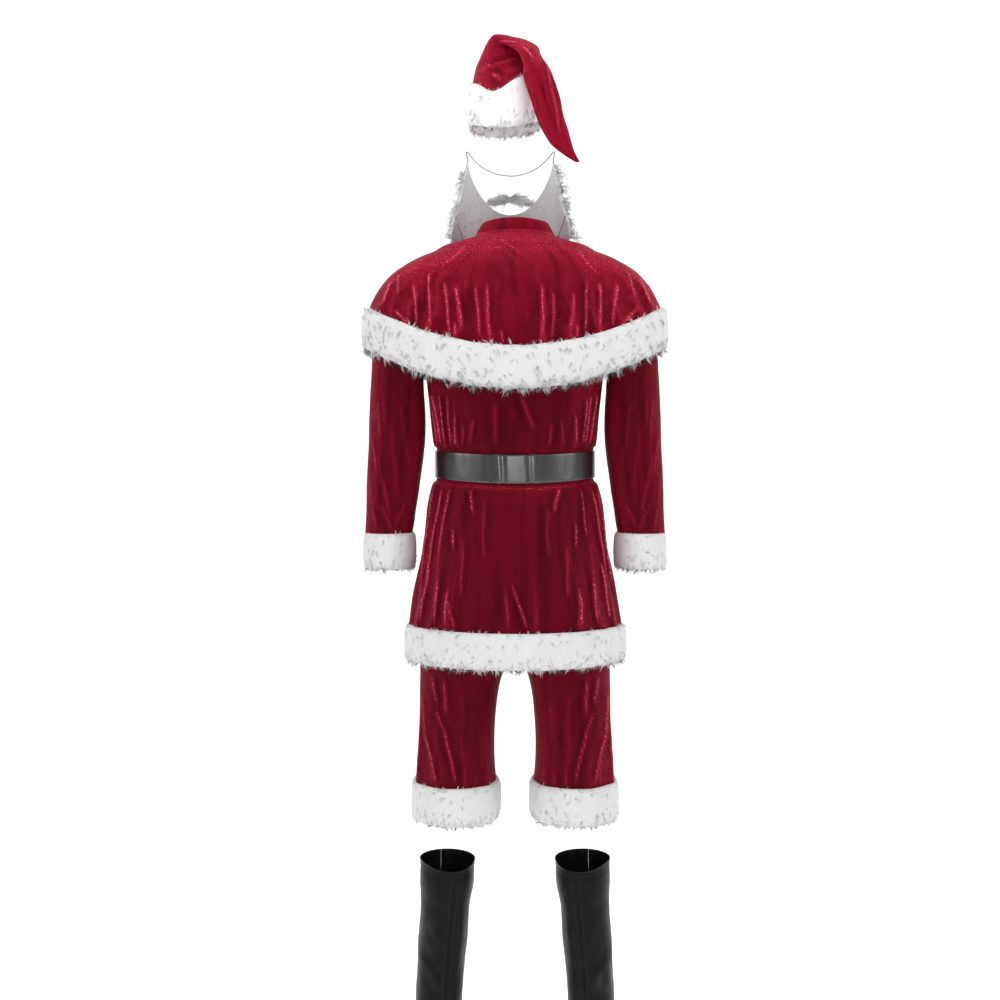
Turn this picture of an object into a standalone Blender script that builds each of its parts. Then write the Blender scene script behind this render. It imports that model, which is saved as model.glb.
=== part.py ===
"""Costume suit in velvet and fur: hat, beard, cape, belted tunic, knee trousers and boot covers.

Metres, +Z up. The origin is on the body's axis at the base of the neck, where the wearer's
shoulders carry the suit. The wearer faces -Y, so +Y is the back and -X the right hand.
Each cut piece is one closed solid. A cloth wall runs through rings that stand in short
tables, and every trim that lies on a cloth is worked out from that cloth's own rings.
"""
import math
from typing import NamedTuple

import bmesh
import bpy
import numpy as np
from mathutils import Vector

COLLECTION = "santa_suit"

# Wall thicknesses and the clearances between pieces
VELVET = 0.0020
HAT_VELVET = 0.0015
FAUX_LEATHER = 0.0015
BELT_THICKNESS = 0.0030
WAISTBAND_THICKNESS = 0.0030
BEARD_BACKING = 0.0020
SEAM_GAP = 0.0003
SEAT_GAP = 0.0005

# How finely the garments are ringed
TORSO_COLUMNS = 56
PANEL_COLUMNS = TORSO_COLUMNS // 4
ARMHOLE_STEPS = 6
LEG_COLUMNS = 14
HAT_COLUMNS = 16
BEARD_COLUMNS = 15

# Fur trims: how far the pile stands out of the cloth, and how long the strip is
CAPE_FUR = {"proud": 0.0215, "height": 0.082}
HEM_FUR = {"proud": 0.0135, "height": 0.069}
WRIST_FUR = {"proud": 0.0072, "height": 0.070, "lean": 0.32}
LEG_FUR = {"proud": 0.0120, "height": 0.074}
HAT_FUR = {"proud": 0.0160, "height": 0.082}

# Rows of the tunic's table that the other pieces refer to
ARMHOLE_TOP_ROW = 2
ARMHOLE_BOTTOM_ROW = 5
BELT_TOP_ROW = 9
BELT_BOTTOM_ROW = 10
ARMHOLE_HALF_ANGLE = math.radians(28.0)
THROAT_COLUMNS = 1
TOE_OUT = math.radians(15.0)


class Level(NamedTuple):
    """One ring round the body: its height, and its reach at the side, the back and the front."""
    side_z: float
    half_width: float
    back_z: float
    back_depth: float
    front_z: float
    front_depth: float


class Fold(NamedTuple):
    """One fold: where it is round the body, how wide and deep, and the rows it grows between."""
    angle: float
    spread: float
    depth: float
    starts: float
    full: float


class SleeveRing(NamedTuple):
    """One ring of the left sleeve, from its outermost to its innermost point."""
    outer_x: float
    outer_z: float
    inner_x: float
    inner_z: float
    half_depth: float


class TrouserLevel(NamedTuple):
    """One ring of the left half of the trousers, as hips and as a leg, and how far it is a leg."""
    z: float
    dip: float
    hip_width: float
    hip_back: float
    hip_front: float
    leg_outer: float
    leg_inner: float
    leg_back: float
    leg_front: float
    leg_share: float


class BootRing(NamedTuple):
    """One ring of the left boot cover."""
    z: float
    dip: float
    centre_x: float
    half_width: float
    back_depth: float
    front_depth: float


class HatRing(NamedTuple):
    """One ring of the hat's folded cone, from its outer to its inner side, and its turn."""
    outer_x: float
    outer_z: float
    inner_x: float
    inner_z: float
    middle_y: float
    half_depth: float
    turned: float


class BeardLevel(NamedTuple):
    """One level of the beard: its height and reach at the ears and in front, and its fullness."""
    ear_z: float
    half_width: float
    chin_z: float
    depth: float
    fullness: float


TUNIC = (
    Level(-0.0120, 0.0725, -0.0090, 0.0620, -0.0240, 0.0700),
    Level(-0.0215, 0.1035, -0.0195, 0.0815, -0.0340, 0.0865),
    Level(-0.0375, 0.1450, -0.0375, 0.0990, -0.0515, 0.1010),
    Level(-0.0900, 0.1660, -0.0850, 0.1100, -0.1000, 0.1110),
    Level(-0.1500, 0.1680, -0.1450, 0.1180, -0.1550, 0.1200),
    Level(-0.2120, 0.1650, -0.2050, 0.1200, -0.2100, 0.1240),
    Level(-0.2700, 0.1600, -0.2650, 0.1160, -0.2680, 0.1210),
    Level(-0.3300, 0.1535, -0.3300, 0.1090, -0.3300, 0.1140),
    Level(-0.3830, 0.1485, -0.3890, 0.1050, -0.3860, 0.1090),
    Level(-0.3970, 0.1425, -0.4040, 0.0990, -0.4000, 0.1030),
    Level(-0.4460, 0.1425, -0.4535, 0.0990, -0.4490, 0.1030),
    Level(-0.4600, 0.1510, -0.4680, 0.1070, -0.4630, 0.1110),
    Level(-0.5000, 0.1595, -0.5050, 0.1190, -0.5020, 0.1200),
    Level(-0.5700, 0.1650, -0.5710, 0.1330, -0.5700, 0.1310),
    Level(-0.6420, 0.1780, -0.6420, 0.1460, -0.6420, 0.1430),
    Level(-0.7090, 0.1895, -0.7090, 0.1555, -0.7090, 0.1520),
)

# The cape's first rows lie on the tunic's yoke, so its own table starts below them
CAPE_SEATED_ROWS = 3
CAPE = (
    Level(-0.0095, 0.0740, -0.0065, 0.0635, -0.0215, 0.0715),
    Level(-0.0190, 0.1050, -0.0170, 0.0825, -0.0315, 0.0875),
    Level(-0.0350, 0.1465, -0.0350, 0.1010, -0.0490, 0.1030),
    Level(-0.0535, 0.1900, -0.0610, 0.1150, -0.0735, 0.1150),
    Level(-0.0725, 0.2190, -0.0890, 0.1250, -0.1000, 0.1240),
    Level(-0.0920, 0.2380, -0.1190, 0.1330, -0.1280, 0.1310),
    Level(-0.1090, 0.2500, -0.1500, 0.1400, -0.1560, 0.1370),
    Level(-0.1240, 0.2585, -0.1820, 0.1460, -0.1840, 0.1420),
    Level(-0.1380, 0.2650, -0.2140, 0.1510, -0.2130, 0.1470),
)

COLLAR_TOP = Level(0.0150, 0.0595, 0.0195, 0.0560, 0.0045, 0.0620)

CAPE_FOLDS = (
    Fold(24, 4.0, 0.0040, 3.5, 8), Fold(34, 4.0, 0.0050, 3.0, 8), Fold(45, 4.2, 0.0050, 3.5, 8),
    Fold(56, 4.2, 0.0055, 2.8, 8), Fold(67, 4.0, 0.0050, 3.2, 8), Fold(79, 4.0, 0.0050, 3.4, 8),
    Fold(101, 4.2, 0.0055, 3.0, 8), Fold(112, 4.0, 0.0050, 3.6, 8), Fold(122, 4.0, 0.0050, 3.0, 8),
    Fold(134, 4.2, 0.0050, 3.4, 8), Fold(146, 4.0, 0.0045, 3.2, 8), Fold(158, 4.0, 0.0040, 3.8, 8),
    Fold(202, 4.2, 0.0040, 3.6, 8), Fold(214, 4.2, 0.0050, 3.2, 8), Fold(228, 4.2, 0.0050, 3.0, 8),
    Fold(242, 4.2, 0.0045, 3.4, 8), Fold(255, 4.2, 0.0040, 3.2, 8), Fold(287, 4.2, 0.0040, 3.4, 8),
    Fold(300, 4.2, 0.0045, 3.0, 8), Fold(313, 4.2, 0.0050, 3.4, 8), Fold(327, 4.2, 0.0050, 3.2, 8),
    Fold(339, 4.2, 0.0040, 3.6, 8),
)

# Gathers above the belt fade upwards, those of the skirt fade downwards or run to the hem
TUNIC_GATHERS = (
    Fold(20, 4.5, 0.0035, 6.0, 8), Fold(33, 4.5, 0.0045, 5.6, 8), Fold(46, 4.5, 0.0030, 6.4, 8),
    Fold(133, 4.5, 0.0035, 6.2, 8), Fold(146, 4.5, 0.0045, 5.6, 8), Fold(159, 4.5, 0.0035, 6.0, 8),
    Fold(204, 4.5, 0.0035, 6.0, 8), Fold(218, 4.5, 0.0040, 5.8, 8), Fold(236, 4.5, 0.0030, 6.4, 8),
    Fold(304, 4.5, 0.0030, 6.4, 8), Fold(322, 4.5, 0.0040, 5.8, 8), Fold(336, 4.5, 0.0035, 6.0, 8),
)
SKIRT_FOLDS = (
    Fold(10, 5.0, 0.0050, 11.0, 14), Fold(24, 4.5, 0.0060, 11.0, 13), Fold(38, 4.5, 0.0050, 11.0, 15),
    Fold(53, 4.5, 0.0030, 11.0, 15), Fold(100, 5.0, 0.0030, 12.8, 15), Fold(126, 4.5, 0.0030, 11.0, 15),
    Fold(142, 4.5, 0.0050, 11.0, 15), Fold(156, 4.5, 0.0060, 11.0, 13), Fold(170, 5.0, 0.0050, 11.0, 14),
    Fold(200, 5.0, 0.0045, 11.0, 14), Fold(220, 5.0, 0.0050, 11.0, 15), Fold(242, 5.0, 0.0035, 11.0, 15),
    Fold(298, 5.0, 0.0035, 11.0, 15), Fold(320, 5.0, 0.0050, 11.0, 15), Fold(340, 5.0, 0.0045, 11.0, 14),
)

SLEEVE = (
    SleeveRing(0.1720, -0.0495, 0.1730, -0.2150, 0.0590),
    SleeveRing(0.1965, -0.0650, 0.1735, -0.2220, 0.0600),
    SleeveRing(0.2185, -0.0855, 0.1705, -0.2340, 0.0600),
    SleeveRing(0.2355, -0.1110, 0.1675, -0.2500, 0.0595),
    SleeveRing(0.2475, -0.1420, 0.1650, -0.2720, 0.0585),
    SleeveRing(0.2545, -0.1900, 0.1632, -0.3000, 0.0575),
    SleeveRing(0.2600, -0.2450, 0.1622, -0.3320, 0.0560),
    SleeveRing(0.2640, -0.3100, 0.1622, -0.3680, 0.0540),
    SleeveRing(0.2662, -0.3720, 0.1650, -0.4050, 0.0520),
    SleeveRing(0.2685, -0.4300, 0.1712, -0.4450, 0.0500),
    SleeveRing(0.2705, -0.4880, 0.1770, -0.4900, 0.0480),
    SleeveRing(0.2725, -0.5460, 0.1865, -0.5460, 0.0460),
)

TROUSERS = (
    TrouserLevel(-0.4480, 0.0060, 0.1388, 0.0952, 0.0992, 0.1700, 0.0002, 0.100, 0.100, 0.00),
    TrouserLevel(-0.5000, 0.0030, 0.1460, 0.1030, 0.1040, 0.1700, 0.0002, 0.100, 0.100, 0.00),
    TrouserLevel(-0.5700, 0.0000, 0.1520, 0.1130, 0.1080, 0.1700, 0.0002, 0.100, 0.100, 0.00),
    TrouserLevel(-0.6400, 0.0000, 0.1580, 0.1160, 0.1080, 0.1700, 0.0002, 0.100, 0.098, 0.08),
    TrouserLevel(-0.6950, 0.0000, 0.1640, 0.1120, 0.1040, 0.1700, 0.0002, 0.099, 0.096, 0.30),
    TrouserLevel(-0.7400, 0.0000, 0.1680, 0.1040, 0.0980, 0.1710, 0.0002, 0.097, 0.094, 0.68),
    TrouserLevel(-0.7700, 0.0000, 0.1700, 0.1000, 0.0960, 0.1720, 0.0002, 0.094, 0.092, 1.00),
    TrouserLevel(-0.7950, 0.0000, 0.1720, 0.1000, 0.0960, 0.1725, 0.0190, 0.091, 0.090, 1.00),
    TrouserLevel(-0.8300, 0.0000, 0.1730, 0.1000, 0.0960, 0.1730, 0.0290, 0.088, 0.088, 1.00),
    TrouserLevel(-0.8750, 0.0000, 0.1735, 0.1000, 0.0960, 0.1740, 0.0345, 0.086, 0.086, 1.00),
    TrouserLevel(-0.9200, 0.0000, 0.1755, 0.1000, 0.0960, 0.1760, 0.0370, 0.085, 0.085, 1.00),
    TrouserLevel(-0.9600, 0.0000, 0.1780, 0.1000, 0.0960, 0.1785, 0.0365, 0.084, 0.084, 1.00),
    TrouserLevel(-0.9930, 0.0000, 0.1800, 0.1000, 0.0960, 0.1805, 0.0335, 0.083, 0.083, 1.00),
)

LEG_FOLDS = (
    Fold(25, 9.0, 0.0040, 8.0, 10), Fold(70, 9.0, 0.0035, 8.5, 11), Fold(140, 9.0, 0.0035, 8.0, 11),
    Fold(215, 9.0, 0.0035, 8.0, 11), Fold(290, 9.0, 0.0040, 8.5, 11), Fold(335, 9.0, 0.0035, 8.0, 10),
)

BOOT = (
    BootRing(-1.1380, 0.0110, 0.1230, 0.0490, 0.0560, 0.0540),
    BootRing(-1.1790, 0.0060, 0.1240, 0.0485, 0.0570, 0.0520),
    BootRing(-1.2300, 0.0000, 0.1275, 0.0440, 0.0540, 0.0480),
    BootRing(-1.3200, 0.0000, 0.1340, 0.0432, 0.0505, 0.0450),
    BootRing(-1.4200, 0.0000, 0.1405, 0.0430, 0.0485, 0.0460),
    BootRing(-1.5000, 0.0000, 0.1445, 0.0445, 0.0500, 0.0600),
    BootRing(-1.5450, 0.0000, 0.1460, 0.0480, 0.0560, 0.0950),
    BootRing(-1.5780, 0.0000, 0.1470, 0.0520, 0.0620, 0.1320),
)

HAT = (
    HatRing(0.0780, 0.2660, -0.0490, 0.2730, -0.005, 0.0910, 0.00),
    HatRing(0.0715, 0.2960, -0.0440, 0.2930, 0.003, 0.0710, 0.05),
    HatRing(0.0550, 0.3280, -0.0360, 0.3090, 0.013, 0.0560, 0.20),
    HatRing(0.0330, 0.3460, -0.0230, 0.3180, 0.028, 0.0460, 0.50),
    HatRing(0.0090, 0.3455, -0.0145, 0.3195, 0.045, 0.0400, 0.79),
    HatRing(-0.0120, 0.3325, -0.0157, 0.3120, 0.064, 0.0340, 0.83),
    HatRing(-0.0315, 0.3145, -0.0168, 0.2990, 0.082, 0.0280, 0.68),
    HatRing(-0.0490, 0.2910, -0.0140, 0.2780, 0.098, 0.0245, 0.38),
    HatRing(-0.0620, 0.2670, -0.0135, 0.2540, 0.108, 0.0215, 0.15),
    HatRing(-0.0740, 0.2290, -0.0245, 0.2180, 0.114, 0.0195, 0.00),
    HatRing(-0.0860, 0.1820, -0.0385, 0.1730, 0.118, 0.0165, 0.00),
    HatRing(-0.0955, 0.1460, -0.0590, 0.1390, 0.118, 0.0120, 0.00),
    HatRing(-0.1030, 0.1240, -0.0820, 0.1190, 0.118, 0.0080, 0.00),
    HatRing(-0.1120, 0.1070, -0.1040, 0.1050, 0.118, 0.0035, 0.00),
)
HAT_BACK_DIP = 0.022
HAT_TIP_WALL = 0.3

BEARD_CENTRE = (0.008, -0.020)
BEARD = (
    BeardLevel(0.1340, 0.0800, 0.0480, 0.0930, 0.35),
    BeardLevel(0.1080, 0.0850, 0.0180, 0.1000, 0.80),
    BeardLevel(0.0720, 0.0930, -0.0220, 0.1120, 1.00),
    BeardLevel(0.0380, 0.1010, -0.0640, 0.1240, 1.00),
    BeardLevel(0.0140, 0.1060, -0.1040, 0.1350, 0.85),
    BeardLevel(0.0020, 0.1080, -0.1320, 0.1410, 0.35),
)
BEARD_SWEEP = 1.35
BEARD_BACKING_ROWS = 4
BEARD_ARC = (math.radians(4.0), math.radians(176.0))
BEARD_EAR_THICKNESS = 0.014
BEARD_CHIN_THICKNESS = 0.030
MOUSTACHE = {
    "half_width": 0.052, "z": 0.080, "droop": 0.014, "stand_off": 0.1082, "wrap": 0.28, "radius": 0.0115,
    "thin_end": 0.35, "lobe_shift": 0.15,
}

ELASTIC_DIAMETER = 0.0025
FINE_STEPS = 50
ELASTIC_ROUTE = (
    (0.0866, -0.0296, 0.1313), (0.0870, -0.0270, 0.1380), (0.0885, -0.0160, 0.1445),
    (0.0880, 0.0040, 0.1455), (0.0840, 0.0250, 0.1390), (0.0750, 0.0470, 0.1240),
    (0.0610, 0.0660, 0.1075), (0.0420, 0.0805, 0.0945), (0.0205, 0.0880, 0.0877),
    (0.0000, 0.0885, 0.0870), (-0.0210, 0.0830, 0.0930), (-0.0400, 0.0710, 0.1045),
    (-0.0550, 0.0530, 0.1205), (-0.0655, 0.0310, 0.1365), (-0.0712, 0.0080, 0.1450),
    (-0.0722, -0.0140, 0.1445), (-0.0712, -0.0270, 0.1380), (-0.0706, -0.0296, 0.1313),
)

BUCKLE = {
    "width": 0.078, "bar": 0.0085, "thickness": 0.0040, "overhang": 0.6,
    "prong_height": 0.3, "prong_thickness": 0.7,
}
BUCKLE_COLUMNS = (-3, 3)

# A fur strip's section: how far out of the wall, and how far down the strip, each corner lies
FUR_SECTION = (
    (0.62, -0.030), (0.92, 0.090), (1.00, 0.420), (0.94, 0.820), (0.55, 1.000), (0.00, 0.940),
)

FINISHES = {
    "velvet": ((0.300, 0.004, 0.018), 0.55, 0.0),
    "fur": ((0.900, 0.900, 0.900), 0.90, 0.0),
    "faux_leather": ((0.020, 0.021, 0.022), 0.42, 0.0),
    "metal": ((0.800, 0.800, 0.780), 0.25, 1.0),
    "elastic": ((0.850, 0.850, 0.850), 0.70, 0.0),
}


def clear_scene():
    """Remove whatever the file holds."""
    for stray in list(bpy.data.objects):
        bpy.data.objects.remove(stray, do_unlink=True)


def make_collection():
    """Give back the collection that holds the suit."""
    collection = bpy.data.collections.new(COLLECTION)
    bpy.context.scene.collection.children.link(collection)
    return collection


def make_material(node_name, finish):
    """Give a piece its own plain material."""
    colour, roughness, metallic = FINISHES[finish]
    material = bpy.data.materials.new(node_name)
    material.use_nodes = True
    shader = material.node_tree.nodes["Principled BSDF"]
    shader.inputs["Base Color"].default_value = (*colour, 1.0)
    shader.inputs["Roughness"].default_value = roughness
    shader.inputs["Metallic"].default_value = metallic
    return material


def smooth_rows(table, row):
    """Read a table at fractional row numbers, on a Catmull-Rom curve through its rows."""
    values = np.array(table, dtype=float)
    last = len(values) - 1
    row = np.clip(np.asarray(row, dtype=float), 0.0, last)
    low = np.clip(np.floor(row).astype(int), 0, last - 1)
    t = (row - low)[..., None]
    before, start = values[np.maximum(low - 1, 0)], values[low]
    end, after = values[low + 1], values[np.minimum(low + 2, last)]
    return 0.5 * (
        2 * start
        + (end - before) * t
        + (2 * before - 5 * start + 4 * end - after) * t**2
        + (3 * start - before - 3 * end + after) * t**3
    )


def unit(vectors):
    """Scale vectors to length one."""
    return vectors / np.linalg.norm(vectors, axis=-1, keepdims=True)


def fold_height(folds, angle, row):
    """Add up how far the folds stand out at an angle in radians and a row."""
    height = np.zeros(np.broadcast(angle, row).shape)
    for fold in folds:
        away = np.degrees(angle) - fold.angle
        away = (away + 180.0) % 360.0 - 180.0
        grown = np.clip((row - fold.starts) / (fold.full - fold.starts), 0.0, 1.0)
        height = height + fold.depth * grown**2 * (3 - 2 * grown) * np.exp(-((away / fold.spread) ** 2))
    return height


def body_surface(levels, folds=()):
    """Make the function that gives a garment's outer points from angles round the body and rows."""

    def surface(angle, row):
        angle, row = np.broadcast_arrays(np.asarray(angle, float), np.asarray(row, float))
        side_z, width, back_z, back, front_z, front = np.moveaxis(smooth_rows(levels, row), -1, 0)
        sine, cosine = np.sin(angle), np.cos(angle)
        depth = np.where(sine >= 0, back, front)
        middle_z = np.where(sine >= 0, back_z, front_z)
        out_x, out_y = cosine / width, sine / depth
        lift = fold_height(folds, angle, row) / np.hypot(out_x, out_y)
        return np.stack(
            [
                width * cosine + out_x * lift,
                depth * sine + out_y * lift,
                side_z + (middle_z - side_z) * sine**2,
            ],
            axis=-1,
        )

    return surface


def outward(surface, angle, row):
    """Unit normals of a surface whose angle runs anticlockwise from above and rows run down."""
    step = 1e-3
    round_it = surface(angle + step, row) - surface(angle - step, row)
    down_it = surface(angle, row + step) - surface(angle, row - step)
    return unit(np.cross(down_it, round_it))


def cloth_loops(outer, normal, thickness):
    """Close a wall: for each column, the outer points downwards, then the inner points back up."""
    inner = outer - thickness * normal
    return np.concatenate([outer, inner[::-1]], axis=0).transpose(1, 0, 2)


def trim_sides(loops):
    """Draw a panel's first and last columns in by half the seam gap each."""
    loops = loops.copy()
    loops[0] += unit(loops[1] - loops[0]) * SEAM_GAP / 2
    loops[-1] += unit(loops[-2] - loops[-1]) * SEAM_GAP / 2
    return loops


def mirrored(loops):
    """The same loops for the right side of the body."""
    return loops * np.array((-1.0, 1.0, 1.0))


class Builder:
    """Makes the suit's objects in one collection."""

    def __init__(self, collection):
        self.collection = collection

    def add(self, name, mesh, finish):
        """Link a mesh as a named piece with its own material."""
        mesh.materials.clear()
        mesh.materials.append(make_material(name, finish))
        piece = bpy.data.objects.new(name, mesh)
        self.collection.objects.link(piece)
        return piece

    def loft(self, name, loops, finish, closed=True):
        """Skin a run of section loops, all round the body or as a panel with two cut sides."""
        columns, points = loops.shape[:2]
        half = points // 2
        builder = bmesh.new()
        corners = [builder.verts.new(corner) for corner in loops.reshape(-1, 3)]

        def corner(column, point):
            return corners[(column % columns) * points + point % points]

        for column in range(columns if closed else columns - 1):
            for point in range(points):
                a, b = corner(column, point), corner(column + 1, point)
                c, d = corner(column + 1, point + 1), corner(column, point + 1)
                split = ((a, b, c), (a, c, d)) if point < half else ((a, b, d), (b, c, d))
                for triangle in split:
                    builder.faces.new(triangle)
        if not closed:
            for column in (0, columns - 1):
                for point in range(half - 1):
                    across = (point, point + 1, points - 2 - point, points - 1 - point)
                    builder.faces.new([corner(column, number) for number in across])
        bmesh.ops.recalc_face_normals(builder, faces=builder.faces)
        mesh = bpy.data.meshes.new(name)
        builder.to_mesh(mesh)
        builder.free()
        mesh.shade_smooth()
        mesh.set_sharp_from_angle(angle=math.radians(50))
        return self.add(name, mesh, finish)


def fur_loops(edge, out, thickness, proud, height):
    """Section loops of a fur strip that carries on downwards from a cloth's lower edge."""
    down = np.array((0.0, 0.0, -1.0))
    level = out * np.array((1.0, 1.0, 0.0))
    level = unit(level)
    proud = np.broadcast_to(proud, edge.shape[:1])[:, None]
    inner_edge = edge - thickness * out
    below = down * SEAM_GAP
    start = np.concatenate([inner_edge[None] + below, edge[None] + below + level * SEAM_GAP])
    rest = [
        inner_edge + level * across * (proud + thickness) + down * (SEAM_GAP + along * height)
        for across, along in FUR_SECTION
    ]
    return np.concatenate([start, np.array(rest)], axis=0).transpose(1, 0, 2)


def panel_angles(start, end):
    """Evenly spaced angles from one seam to the next, as a row for each pair of seam angles."""
    share = np.linspace(0.0, 1.0, PANEL_COLUMNS + 1)
    start, end = np.broadcast_arrays(np.asarray(start, float), np.asarray(end, float))
    return start[:, None] + (end - start)[:, None] * share


def armhole_rows():
    """Rows from the armhole's top to its bottom, closer together at both ends."""
    turn = np.linspace(0.0, math.pi, ARMHOLE_STEPS + 1)
    depth = ARMHOLE_BOTTOM_ROW - ARMHOLE_TOP_ROW
    return ARMHOLE_TOP_ROW + depth * (1 - np.cos(turn)) / 2, ARMHOLE_HALF_ANGLE * np.sin(turn)


def tunic_surface():
    """The tunic's outer surface, with its gathers above the belt and its skirt folds."""
    plain = body_surface(TUNIC)
    gathered = body_surface(TUNIC, TUNIC_GATHERS)
    skirted = body_surface(TUNIC, SKIRT_FOLDS)

    def surface(angle, row):
        angle, row = np.broadcast_arrays(np.asarray(angle, float), np.asarray(row, float))
        above = (row <= BELT_TOP_ROW - 1)[..., None]
        below = (row >= BELT_BOTTOM_ROW + 1)[..., None]
        shaped = np.where(above, gathered(angle, row), plain(angle, row))
        return np.where(below, skirted(angle, row), shaped)

    return surface


def build_tunic(maker, surface):
    """Four panels that leave the armholes open, and the fur round the hem."""
    hole_rows, hole_angles = armhole_rows()
    last = len(TUNIC) - 1
    below_holes = np.arange(ARMHOLE_BOTTOM_ROW + 1, last + 1)
    rows = np.concatenate([np.arange(ARMHOLE_TOP_ROW), hole_rows, below_holes])
    edge = np.zeros(len(rows))
    edge[ARMHOLE_TOP_ROW : ARMHOLE_TOP_ROW + len(hole_angles)] = hole_angles
    quarter, half = math.pi / 2, math.pi
    panels = {
        "tunic_back_left": (edge, quarter + 0 * edge),
        "tunic_back_right": (quarter + 0 * edge, half - edge),
        "tunic_front_right": (half + edge, 3 * quarter + 0 * edge),
        "tunic_front_left": (3 * quarter + 0 * edge, 2 * half - edge),
    }
    for name, (start, end) in panels.items():
        angles = panel_angles(start, end)
        down = np.broadcast_to(rows[:, None], angles.shape)
        outer, normal = surface(angles, down), outward(surface, angles, down)
        maker.loft(name, trim_sides(cloth_loops(outer, normal, VELVET)), "velvet", closed=False)
    angles = torso_angles()
    hem, out = surface(angles, last), outward(surface, angles, last)
    maker.loft("tunic_hem_fur", fur_loops(hem, out, VELVET, HEM_FUR["proud"], HEM_FUR["height"]), "fur")


def torso_angles():
    """The columns that every garment round the torso shares."""
    return np.arange(TORSO_COLUMNS) * 2 * math.pi / TORSO_COLUMNS


def build_sleeves(maker, surface):
    """Both sleeves, set into the tunic's armholes, and the fur round their wrists."""
    hole_rows, hole_angles = armhole_rows()
    ring_rows = np.concatenate([hole_rows, hole_rows[-2:0:-1]])
    ring_angles = np.concatenate([hole_angles, -hole_angles[-2:0:-1]])
    seam, seam_out = surface(ring_angles, ring_rows), outward(surface, ring_angles, ring_rows)
    inward = seam.mean(axis=0) - seam
    inward -= (inward * seam_out).sum(axis=1, keepdims=True) * seam_out
    seam = seam + unit(inward) * SEAM_GAP
    turn = np.arange(len(ring_rows)) * 2 * math.pi / len(ring_rows)
    rings = [seam]
    for ring in SLEEVE:
        outer = np.array((ring.outer_x, 0.0, ring.outer_z))
        inner = np.array((ring.inner_x, 0.0, ring.inner_z))
        middle, reach = (outer + inner) / 2, (outer - inner) / 2
        depth = np.array((0.0, ring.half_depth, 0.0))
        rings.append(middle + np.cos(turn)[:, None] * reach + np.sin(turn)[:, None] * depth)
    outer = np.array(rings)
    round_it = np.roll(outer, -1, axis=1) - np.roll(outer, 1, axis=1)
    down_it = np.gradient(outer, axis=0)
    normal = unit(np.cross(down_it, round_it))
    normal[0] = seam_out
    sleeve = cloth_loops(outer, normal, VELVET)
    wrist_out = normal[-1]
    lean = 1 - WRIST_FUR["lean"] * np.cos(turn)
    wrist = fur_loops(outer[-1], wrist_out, VELVET, WRIST_FUR["proud"] * lean, WRIST_FUR["height"])
    for side, turned in (("left", lambda loops: loops), ("right", mirrored)):
        maker.loft(f"sleeve_{side}", turned(sleeve), "velvet")
        maker.loft(f"wrist_fur_{side}", turned(wrist), "fur")


def build_cape(maker, tunic):
    """The cape's three panels, seated on the tunic's yoke, its fur hem and its stand collar."""
    surface = body_surface(CAPE, CAPE_FOLDS)
    rows = np.arange(CAPE_SEATED_ROWS, len(CAPE))
    seats = np.arange(CAPE_SEATED_ROWS)

    def grids(angles):
        angles = np.asarray(angles)[None, :]
        seat = np.broadcast_to(seats[:, None], (len(seats), angles.shape[1]))
        seat_angles = np.broadcast_to(angles, seat.shape)
        seat_out = outward(tunic, seat_angles, seat)
        seated = tunic(seat_angles, seat) + (SEAT_GAP + VELVET) * seat_out
        free = np.broadcast_to(rows[:, None], (len(rows), angles.shape[1]))
        free_angles = np.broadcast_to(angles, free.shape)
        outer = np.concatenate([seated, surface(free_angles, free)])
        return outer, np.concatenate([seat_out, outward(surface, free_angles, free)])

    quarter = math.pi / 2
    step = 2 * math.pi / TORSO_COLUMNS
    panels = {
        "cape_back": np.arange(2 * PANEL_COLUMNS + 1) * step,
        "cape_front_right": 2 * quarter + np.arange(PANEL_COLUMNS + 1) * step,
        "cape_front_left": 3 * quarter + np.arange(PANEL_COLUMNS + 1) * step,
    }
    for name, angles in panels.items():
        maker.loft(name, trim_sides(cloth_loops(*grids(angles), VELVET)), "velvet", closed=False)
    outer, normal = grids(torso_angles())
    fur = fur_loops(outer[-1], normal[-1], VELVET, CAPE_FUR["proud"], CAPE_FUR["height"])
    maker.loft("cape_fur", fur, "fur")
    build_collar(maker, outer, normal)


def build_collar(maker, cape, cape_out):
    """A stand collar on the cape's neck edge, open at the throat."""
    into_neck = unit(cape[0] - cape[1])
    foot = cape[0] + into_neck * SEAM_GAP
    angles = torso_angles()
    top = body_surface((COLLAR_TOP, COLLAR_TOP))(angles, 0.0)
    outer = np.array([top, foot])
    round_it = np.roll(outer, -1, axis=1) - np.roll(outer, 1, axis=1)
    normal = unit(np.cross(np.gradient(outer, axis=0), round_it))
    normal[-1] = cape_out[0]
    loops = cloth_loops(outer, normal, VELVET)
    throat = 3 * PANEL_COLUMNS
    kept = (throat + np.arange(THROAT_COLUMNS, TORSO_COLUMNS - THROAT_COLUMNS + 1)) % TORSO_COLUMNS
    maker.loft("cape_collar", loops[kept], "velvet", closed=False)


def build_belt(maker, tunic):
    """The belt strap round the tunic's waist, with its plain buckle in front."""
    angles = torso_angles()
    rows = np.array((BELT_TOP_ROW, BELT_BOTTOM_ROW))
    angle_grid, row_grid = np.meshgrid(angles, rows)
    waist, out = tunic(angle_grid, row_grid), outward(tunic, angle_grid, row_grid)
    level = unit(out * np.array((1.0, 1.0, 0.0)))
    strap = waist + level * (SEAM_GAP + BELT_THICKNESS)
    maker.loft("belt_strap", cloth_loops(strap, level, BELT_THICKNESS), "faux_leather")

    front = 3 * PANEL_COLUMNS
    low, high = BUCKLE_COLUMNS
    columns = np.arange(front + low, front + high + 1)
    face, face_out = strap[:, columns], level[:, columns]
    build_buckle(maker, face, face_out)


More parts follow.
